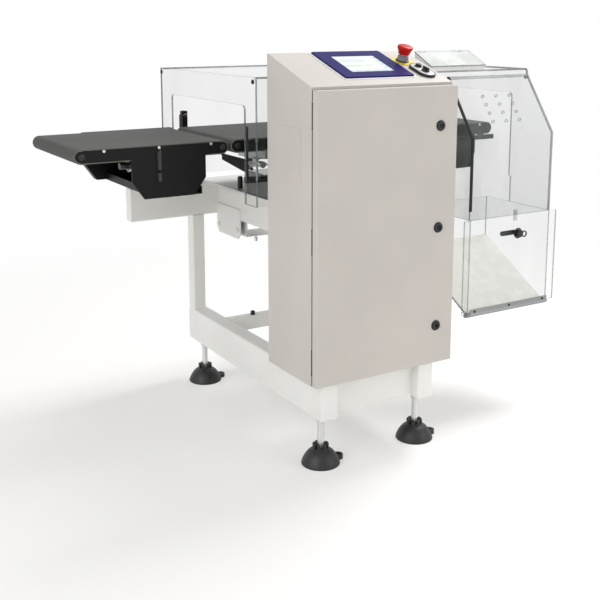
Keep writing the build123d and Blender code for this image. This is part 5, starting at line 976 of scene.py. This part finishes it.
@dataclass
class Conveyors:
    """Screw sockets, motor rings, gearbox screws and strap faces of the conveyors."""

    near: float = 351.0
    screw_z: float = 802.0
    screw_x: tuple[float, ...] = (-393.0, -249.0, -105.0, 29.0, 173.0, 317.0, 517.0, 661.0, 805.0)
    starts: Pair = (-467.0, 443.0)
    motor: Triple = (149.0, 390.0, 756.0)
    motor_radius: float = 14.0
    gearbox: Triple = (270.0, 367.0, 707.0)
    strap_x: Pair = (-253.5, -244.5)
    strap_z: tuple[Pair, Pair] = ((716.0, 737.0), (745.0, 792.0))

    def sockets(self) -> None:
        """A hexagon socket in every side screw."""
        first = rod("screw_socket", (self.screw_x[0], self.near - 2.25, self.screw_z), 1.9, 0.3, Axis.Y, 6)
        sink_well(first, facing(y=-1), 0.15, 0.22)
        hand_out(first, [(x - self.screw_x[0], 0.0, 0.0) for x in self.screw_x[1:]], SOCKET_DARK)

    def motor_rings(self, start: float) -> None:
        """Bright rings at both ends of a motor's body."""
        x, y, z = start + self.motor[0], *self.motor[1:]
        for number, (along, wide) in enumerate(((3.0, 6.0), (20.0, 5.0))):
            ring = rod(f"motor_ring_{number}", (x + along, y, z), self.motor_radius + 1.4, wide, Axis.X, 40)
            inset(ring, facing(x=-1), 3.0, 0.8)
            hand_over(ease(ring, 0.5), TURNED)

    def gearbox_screws(self, start: float) -> None:
        """Four cap screws on the face of a gearbox."""
        x, y, z = start + self.gearbox[0], *self.gearbox[1:]
        first = rod("gearbox_screw", (x - 15, y - 1.2, z - 22), 3.0, 2.4, Axis.Y, 20)
        sink_well(first, facing(y=-1), 1.2, 1.4)
        ease(first, 0.3)
        hand_out(first, [(30.0, 0.0, 0.0), (0.0, 0.0, 44.0), (30.0, 0.0, 44.0)], ZINC)

    def strap_faces(self) -> None:
        """The faces of the two-part strap on the infeed's near lobe, in a grey made lighter as painted highlight."""
        for number, (low, high) in enumerate(self.strap_z):
            face = faced(f"strap_face_{number}", (self.strap_x[0], self.near - 5.8, low),
                         (self.strap_x[1], self.near - 5.0, high), facing(y=-1), 1.6, 0.3, 0.3)
            hand_over(face, STRAP_GREY_HIGHLIT)

    def build(self) -> None:
        """Build the pieces of all conveyors."""
        self.sockets()
        self.strap_faces()
        for start in self.starts:
            self.motor_rings(start)
            self.gearbox_screws(start)


@dataclass
class GuardTrim:
    """The hood's dark edge strip and the screws at the guard's corners."""

    left: float = 582.0
    front: float = 126.0
    back: float = 238.0
    floor: float = 590.0
    knee: float = 796.0
    crest: float = 959.0
    corners: tuple[Triple, ...] = ((-34.0, 249.0, 964.0), (-34.0, 827.0, 964.0),
                                   (889.0, 249.0, 950.0), (889.0, 827.0, 964.0))

    def edge_strip(self) -> None:
        """The dark strip along the front edge of the hood's left plate."""
        upright = block("hood_edge_strip", (self.left - 1.6, self.front - 1.4, self.floor),
                        (self.left + 6.2, self.front + 3.0, self.knee))
        slope = math.atan2(self.crest - self.knee, self.back - self.front)
        run = math.hypot(self.crest - self.knee, self.back - self.front)
        raked = block("hood_edge_rake", (self.left - 1.6, -1.4, 0.0), (self.left + 6.2, 3.0, run))
        pivot = Matrix.Translation(at(self.left, 0.0, 0.0))
        raked.data.transform(pivot @ Matrix.Rotation(slope - math.pi / 2, 4, "X") @ pivot.inverted())
        raked.data.transform(Matrix.Translation(Vector((0.0, self.front, self.knee)) / 1000))
        for strip in (upright, raked):
            inset(strip, facing(x=-1), 1.0, 0.4)
            ease(strip, 0.6)
        hand_over(join("hood_edge_strip", [upright, raked]), GASKET)

    def corner_screws(self) -> None:
        """A black cap screw at each upper corner of both end panels."""
        outline = [(0.0, 0.0), (6.0, 0.0), (6.2, 1.0), (5.6, 3.0), (3.2, 3.4), (3.2, 1.6), (0.0, 1.6)]
        for number, corner in enumerate(self.corners):
            screw = spun(f"corner_screw_{number}", (0, 0, 0), outline, Axis.Z, 28)
            outward = math.copysign(math.pi / 2, corner[0])
            for move in (Matrix.Translation(-at(0, 0, 0)), Matrix.Rotation(outward, 4, "Y"),
                         Matrix.Translation(at(*corner))):
                screw.data.transform(move)
            hand_over(screw, BLACK_PLASTIC)

    def build(self) -> None:
        """Build the guard's trim."""
        self.edge_strip()
        self.corner_screws()


@dataclass
class FrameTrim:
    """The upper beam's end plates, and the seal between the weigh housing and the bed plate."""

    ends: Pair = (-168.0, 573.0)
    y: Pair = (762.0, 802.0)
    z: Pair = (527.0, 627.0)
    housing: tuple[Pair, Pair] = ((72.5, 332.5), (250.0, 497.0))
    bed: float = 635.0

    def end_plates(self) -> None:
        """A welded plate on each end of the upper beam."""
        for number, (x, out) in enumerate(zip(self.ends, (-2.0, 2.0))):
            low = (min(x, x + out), self.y[0] + 0.6, self.z[0] + 0.6)
            high = (max(x, x + out), self.y[1] - 0.6, self.z[1] - 0.6)
            hand_over(faced(f"beam_end_plate_{number}", low, high, facing(x=out), 1.5, 0.0, 0.8), WHITE_COAT)

    def housing_seal(self) -> None:
        """The thin dark seal under the weigh housing's foot."""
        (left, right), (near, far) = self.housing
        seal = block("housing_seal", (left - 0.8, near - 0.8, self.bed - 0.4), (right + 0.8, far + 0.8, self.bed + 1.8))
        carve(seal, block("middle", (left + 2, near + 2, self.bed - 4), (right - 2, far - 2, self.bed + 4)))
        hand_over(ease(seal, 0.4, 2, 60.0), GASKET)

    def build(self) -> None:
        """Build the frame's trim."""
        self.end_plates()
        self.housing_seal()


@dataclass
class GearFronts:
    """What shows on the control gear behind the open door: windows, keys, lamps, sockets and terminal screws."""

    drives: Triple = (67.0, 143.0, 219.0)
    drive_front: float = 122.5
    plates: tuple[tuple[str, Pair, float, Pair, float], ...] = (
        ("controller_window", (49.0, 103.0), 167.5, (752.0, 780.0), 1.2),
        ("controller_socket", (115.0, 173.0), 167.5, (736.0, 750.0), 5.0),
        ("supply_terminals", (208.0, 272.0), 109.5, (720.0, 738.0), 6.0))
    lamps: tuple[tuple[str, float, float, float], ...] = (
        ("controller_lamp", 171.0, 167.5, 772.0), ("supply_lamp", 268.0, 109.5, 766.0))
    terminals: tuple[float, float, int] = (56.0, 10.0, 22)
    terminal_front: float = 182.0
    terminal_z: Pair = (474.0, 512.0)

    def plate(self, name: str, x: Pair, front: float, z: Pair, lift: float) -> None:
        """A small dark plate on a case's front, with a sunk and rounded face."""
        slab = faced(name, (x[0], front - lift, z[0]), (x[1], front + 0.6, z[1]), facing(y=-1), 1.0, 0.4, 0.3)
        hand_over(slab, SOCKET_DARK)

    def lamp(self, name: str, x: float, front: float, z: float) -> None:
        """A small green pilot lamp."""
        outline = ((0.0, -0.4), (2.4, -0.4), (2.4, 0.8), (1.8, 1.6), (0.8, 2.0), (0.0, 2.1))
        Turning(name, PILOT_GREEN, Axis.Y, 20, ((x, front, z),), outline).build()

    def drive_face(self, number: int, middle: float) -> None:
        """One drive's window, four keys, lower socket and lamp."""
        front = self.drive_front
        self.plate(f"drive_window_{number}", (middle - 20, middle + 20), front, (592, 610), 1.2)
        key = faced(f"drive_key_{number}", (middle - 20, front - 1.8, 576), (middle - 12, front + 0.6, 584),
                    facing(y=-1), 1.2, -0.5, 0.5)
        keys = [key, *repeat(key, [(10.7 * step, 0.0, 0.0) for step in (1, 2, 3)])]
        hand_over(join(f"drive_keys_{number}", keys), BUTTON_GREY)
        self.plate(f"drive_socket_{number}", (middle - 22, middle + 22), front, (541, 560), 5.0)
        self.lamp(f"drive_lamp_{number}", middle + 24, front, 601.0)

    def terminal_screws(self) -> None:
        """Two slotted screws on every terminal, all as one piece."""
        start, pitch, count = self.terminals
        front, (low, high) = self.terminal_front, self.terminal_z
        outline = [(0.0, -0.3), (2.7, -0.3), (2.8, 0.6), (2.2, 1.0), (0.0, 1.0)]
        first = spun("terminal_screw", (start, front, low), outline, Axis.Y, 12)
        carve(first, block("slot", (start - 4, front - 2, low - 0.4), (start + 4, front - 0.5, low + 0.4)))
        shifts = [(pitch * step, 0.0, up) for up in (0.0, high - low) for step in range(count)][1:]
        hand_over(join("terminal_screws", [first, *repeat(first, shifts)]), ZINC)

    def build(self) -> None:
        """Build the fronts of the drives, the controller and the supply, and the terminals' screws."""
        for number, middle in enumerate(self.drives):
            self.drive_face(number, middle)
        for row in self.plates:
            self.plate(*row)
        for row in self.lamps:
            self.lamp(*row)
        self.terminal_screws()


@dataclass
class SheetEdges:
    """The cut edges of the clear sheets, as thin strips: the sheet's own tint, made stronger as painted shade for what
    a cut edge refracts.
    """

    bodies: dict[str, tuple[str, Finish]] = field(default_factory=lambda: {
        "guard_ends": ("machine", SHEET_EDGE), "guard_panels": ("machine", SHEET_EDGE),
        "reject_hood": ("machine", PALE_EDGE), "hood_lid": ("lid", SHEET_EDGE),
        "bin_walls": ("machine", PALE_EDGE), "bin_door": ("bin_front", PALE_EDGE)})
    broad_area: float = 6000.0
    stand_off: float = 0.03
    depth: float = 0.1

    @staticmethod
    def plane(face: bmesh.types.BMFace) -> tuple[int, ...]:
        """The plane that a face lies in, rounded so that neighbours agree."""
        reach = face.normal.dot(face.verts[0].co)
        return (*(round(value * 50) for value in face.normal), round(reach * 2000))

    def broad_planes(self, mesh: bpy.types.Mesh) -> set[tuple[int, ...]]:
        """Find the planes that hold a sheet's broad sides: those with the larger areas."""
        areas: dict[tuple[int, ...], float] = {}
        shape = bmesh.new()
        shape.from_mesh(mesh)
        for face in shape.faces:
            areas[self.plane(face)] = areas.get(self.plane(face), 0.0) + face.calc_area() * 1e6
        shape.free()
        return {key for key, area in areas.items() if area > self.broad_area}

    def edge_of(self, node: str) -> Piece:
        """Take a copy of a clear node, keep its narrow faces and give them a thin skin."""
        source = frame["nodes"][node]
        strip = source.copy()
        strip.data = source.data.copy()
        strip.name = node + "_edges"
        bpy.context.collection.objects.link(strip)
        pick(strip, lambda face: True)
        bpy.ops.mesh.select_all(action="SELECT")
        bpy.ops.mesh.remove_doubles(threshold=0.00002)
        bpy.ops.object.mode_set(mode="OBJECT")
        broad = self.broad_planes(strip.data)
        if pick(strip, lambda face: self.plane(face) in broad):
            bpy.ops.mesh.delete(type="FACE")
        bpy.ops.mesh.select_all(action="SELECT")
        bpy.ops.transform.shrink_fatten(value=self.stand_off / 1000)
        bpy.ops.object.mode_set(mode="OBJECT")
        modify(strip, "SOLIDIFY", thickness=self.depth / 1000, offset=-1.0)
        return strip

    def build(self) -> None:
        """Build the edges of all clear nodes."""
        for node, (body, finish) in self.bodies.items():
            hand_over(self.edge_of(node), finish, body)


@dataclass
class Studio:
    """The floor, the lights, the world and the camera."""

    floor_size: float = 14.0
    camera_at: Triple = (-1.406, -2.3067, 1.1132)
    heading: float = 31.029
    down: float = 10.384
    lens: float = 57.87
    lift: float = -0.17
    floor_glow: float = 0.34
    floor_fade: Pair = (0.7, 2.4)
    ambient: float = 0.46
    warm_white: Triple = (1.0, 0.99, 0.975)
    backdrop: tuple[float, ...] = (1.0, 1.0, 1.0, 1.0)
    lamps: tuple[tuple[str, Triple, Triple, float, float], ...] = (
        ("key", (2.1, 0.3, 3.2), (0.0, 0.0, 0.4), 1.2, 92.0),
        ("left_fill", (-3.3, -1.3, 2.0), (0.0, 0.0, 0.5), 2.6, 56.0),
        ("front_fill", (2.0, -3.0, 1.7), (0.0, 0.0, 0.5), 2.4, 27.0))

    def floor(self) -> None:
        """Lay a pale floor that keeps the object's shadow and is otherwise white to the camera."""
        deselect()
        bpy.ops.mesh.primitive_plane_add(size=self.floor_size, location=(0, 0, 0))
        floor = bpy.context.object
        floor.name = "studio_floor"
        recipe = Recipe("studio_floor")
        recipe.finish(Base_Color=self.warm_white, Roughness=0.9, Specular_IOR_Level=0.0)
        far = recipe.out("ShaderNodeVectorMath", {"operation": "LENGTH"}, {0: recipe.place()}, "Value")
        share = recipe.seen() * (far.band(*self.floor_fade) * (1.0 - self.floor_glow) + self.floor_glow)
        glow = recipe.out("ShaderNodeEmission", inputs={"Color": self.backdrop, "Strength": 1.0})
        shaded = Signal(recipe, recipe.shader.outputs[0])
        both = recipe.out("ShaderNodeMixShader", inputs={0: share, 1: shaded, 2: glow})
        output = next(node for node in recipe.nodes if node.type == "OUTPUT_MATERIAL")
        recipe.links.new(both.socket, output.inputs["Surface"])
        floor.data.materials.append(recipe.material)

    def world(self) -> None:
        """White behind everything, and a softer grey light from all round."""
        world = bpy.data.worlds.new("studio_world")
        bpy.context.scene.world = world
        world.use_nodes = True
        tree = NodeTree(world.node_tree)
        tree.nodes.clear()
        lighting = tree.out("ShaderNodeBackground", inputs={0: (*self.warm_white, 1.0), 1: self.ambient})
        backdrop = tree.out("ShaderNodeBackground", inputs={0: self.backdrop, 1: 1.0})
        both = tree.out("ShaderNodeMixShader", inputs={0: tree.seen(), 1: lighting, 2: backdrop})
        tree.node("ShaderNodeOutputWorld", inputs={0: both})

    def hang(self, data: bpy.types.ID, place: Triple, turn: Sequence[float]) -> Piece:
        """Put a lamp or camera in its place, with its data's name."""
        thing = bpy.data.objects.new(data.name, data)
        bpy.context.collection.objects.link(thing)
        thing.location = place
        thing.rotation_euler = turn
        return thing

    def lamp(self, name: str, place: Triple, aim: Triple, size: float, power: float) -> None:
        """Hang one soft square lamp that looks at a point."""
        data = bpy.data.lights.new(name, "AREA")
        data.size = size
        data.energy = power
        self.hang(data, place, (Vector(aim) - Vector(place)).to_track_quat("-Z", "Y").to_euler())

    def camera(self) -> None:
        """Set up the camera where the photograph was taken."""
        data = bpy.data.cameras.new("camera")
        data.lens = self.lens
        data.sensor_width = 36.0
        data.shift_y = self.lift
        turn = (math.radians(90 - self.down), 0.0, math.radians(-self.heading))
        bpy.context.scene.camera = self.hang(data, self.camera_at, turn)

    def build(self) -> None:
        """Set up the whole studio: a high key behind on the right, and two broad fills from the front."""
        bpy.context.scene.view_settings.view_transform = "Standard"
        self.floor()
        self.world()
        for row in self.lamps:
            self.lamp(*row)
        self.camera()


def main() -> None:
    """Dress the nodes, build the pieces and set up the studio."""
    logging.basicConfig(level=logging.INFO, format="%(message)s")
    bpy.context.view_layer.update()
    LOG.info("nodes dressed: %d", dress_nodes())
    for group in (OperatorPanel(), Feet(), CabinetTrim(), Conveyors(), GuardTrim(), FrameTrim(), GearFronts(),
                  *TURNINGS, SheetEdges(), Studio()):
        before = len(bpy.data.objects)
        group.build()
        LOG.info("%s: %d objects", getattr(group, "name", type(group).__name__), len(bpy.data.objects) - before)


if __name__ == "__main__":
    main()
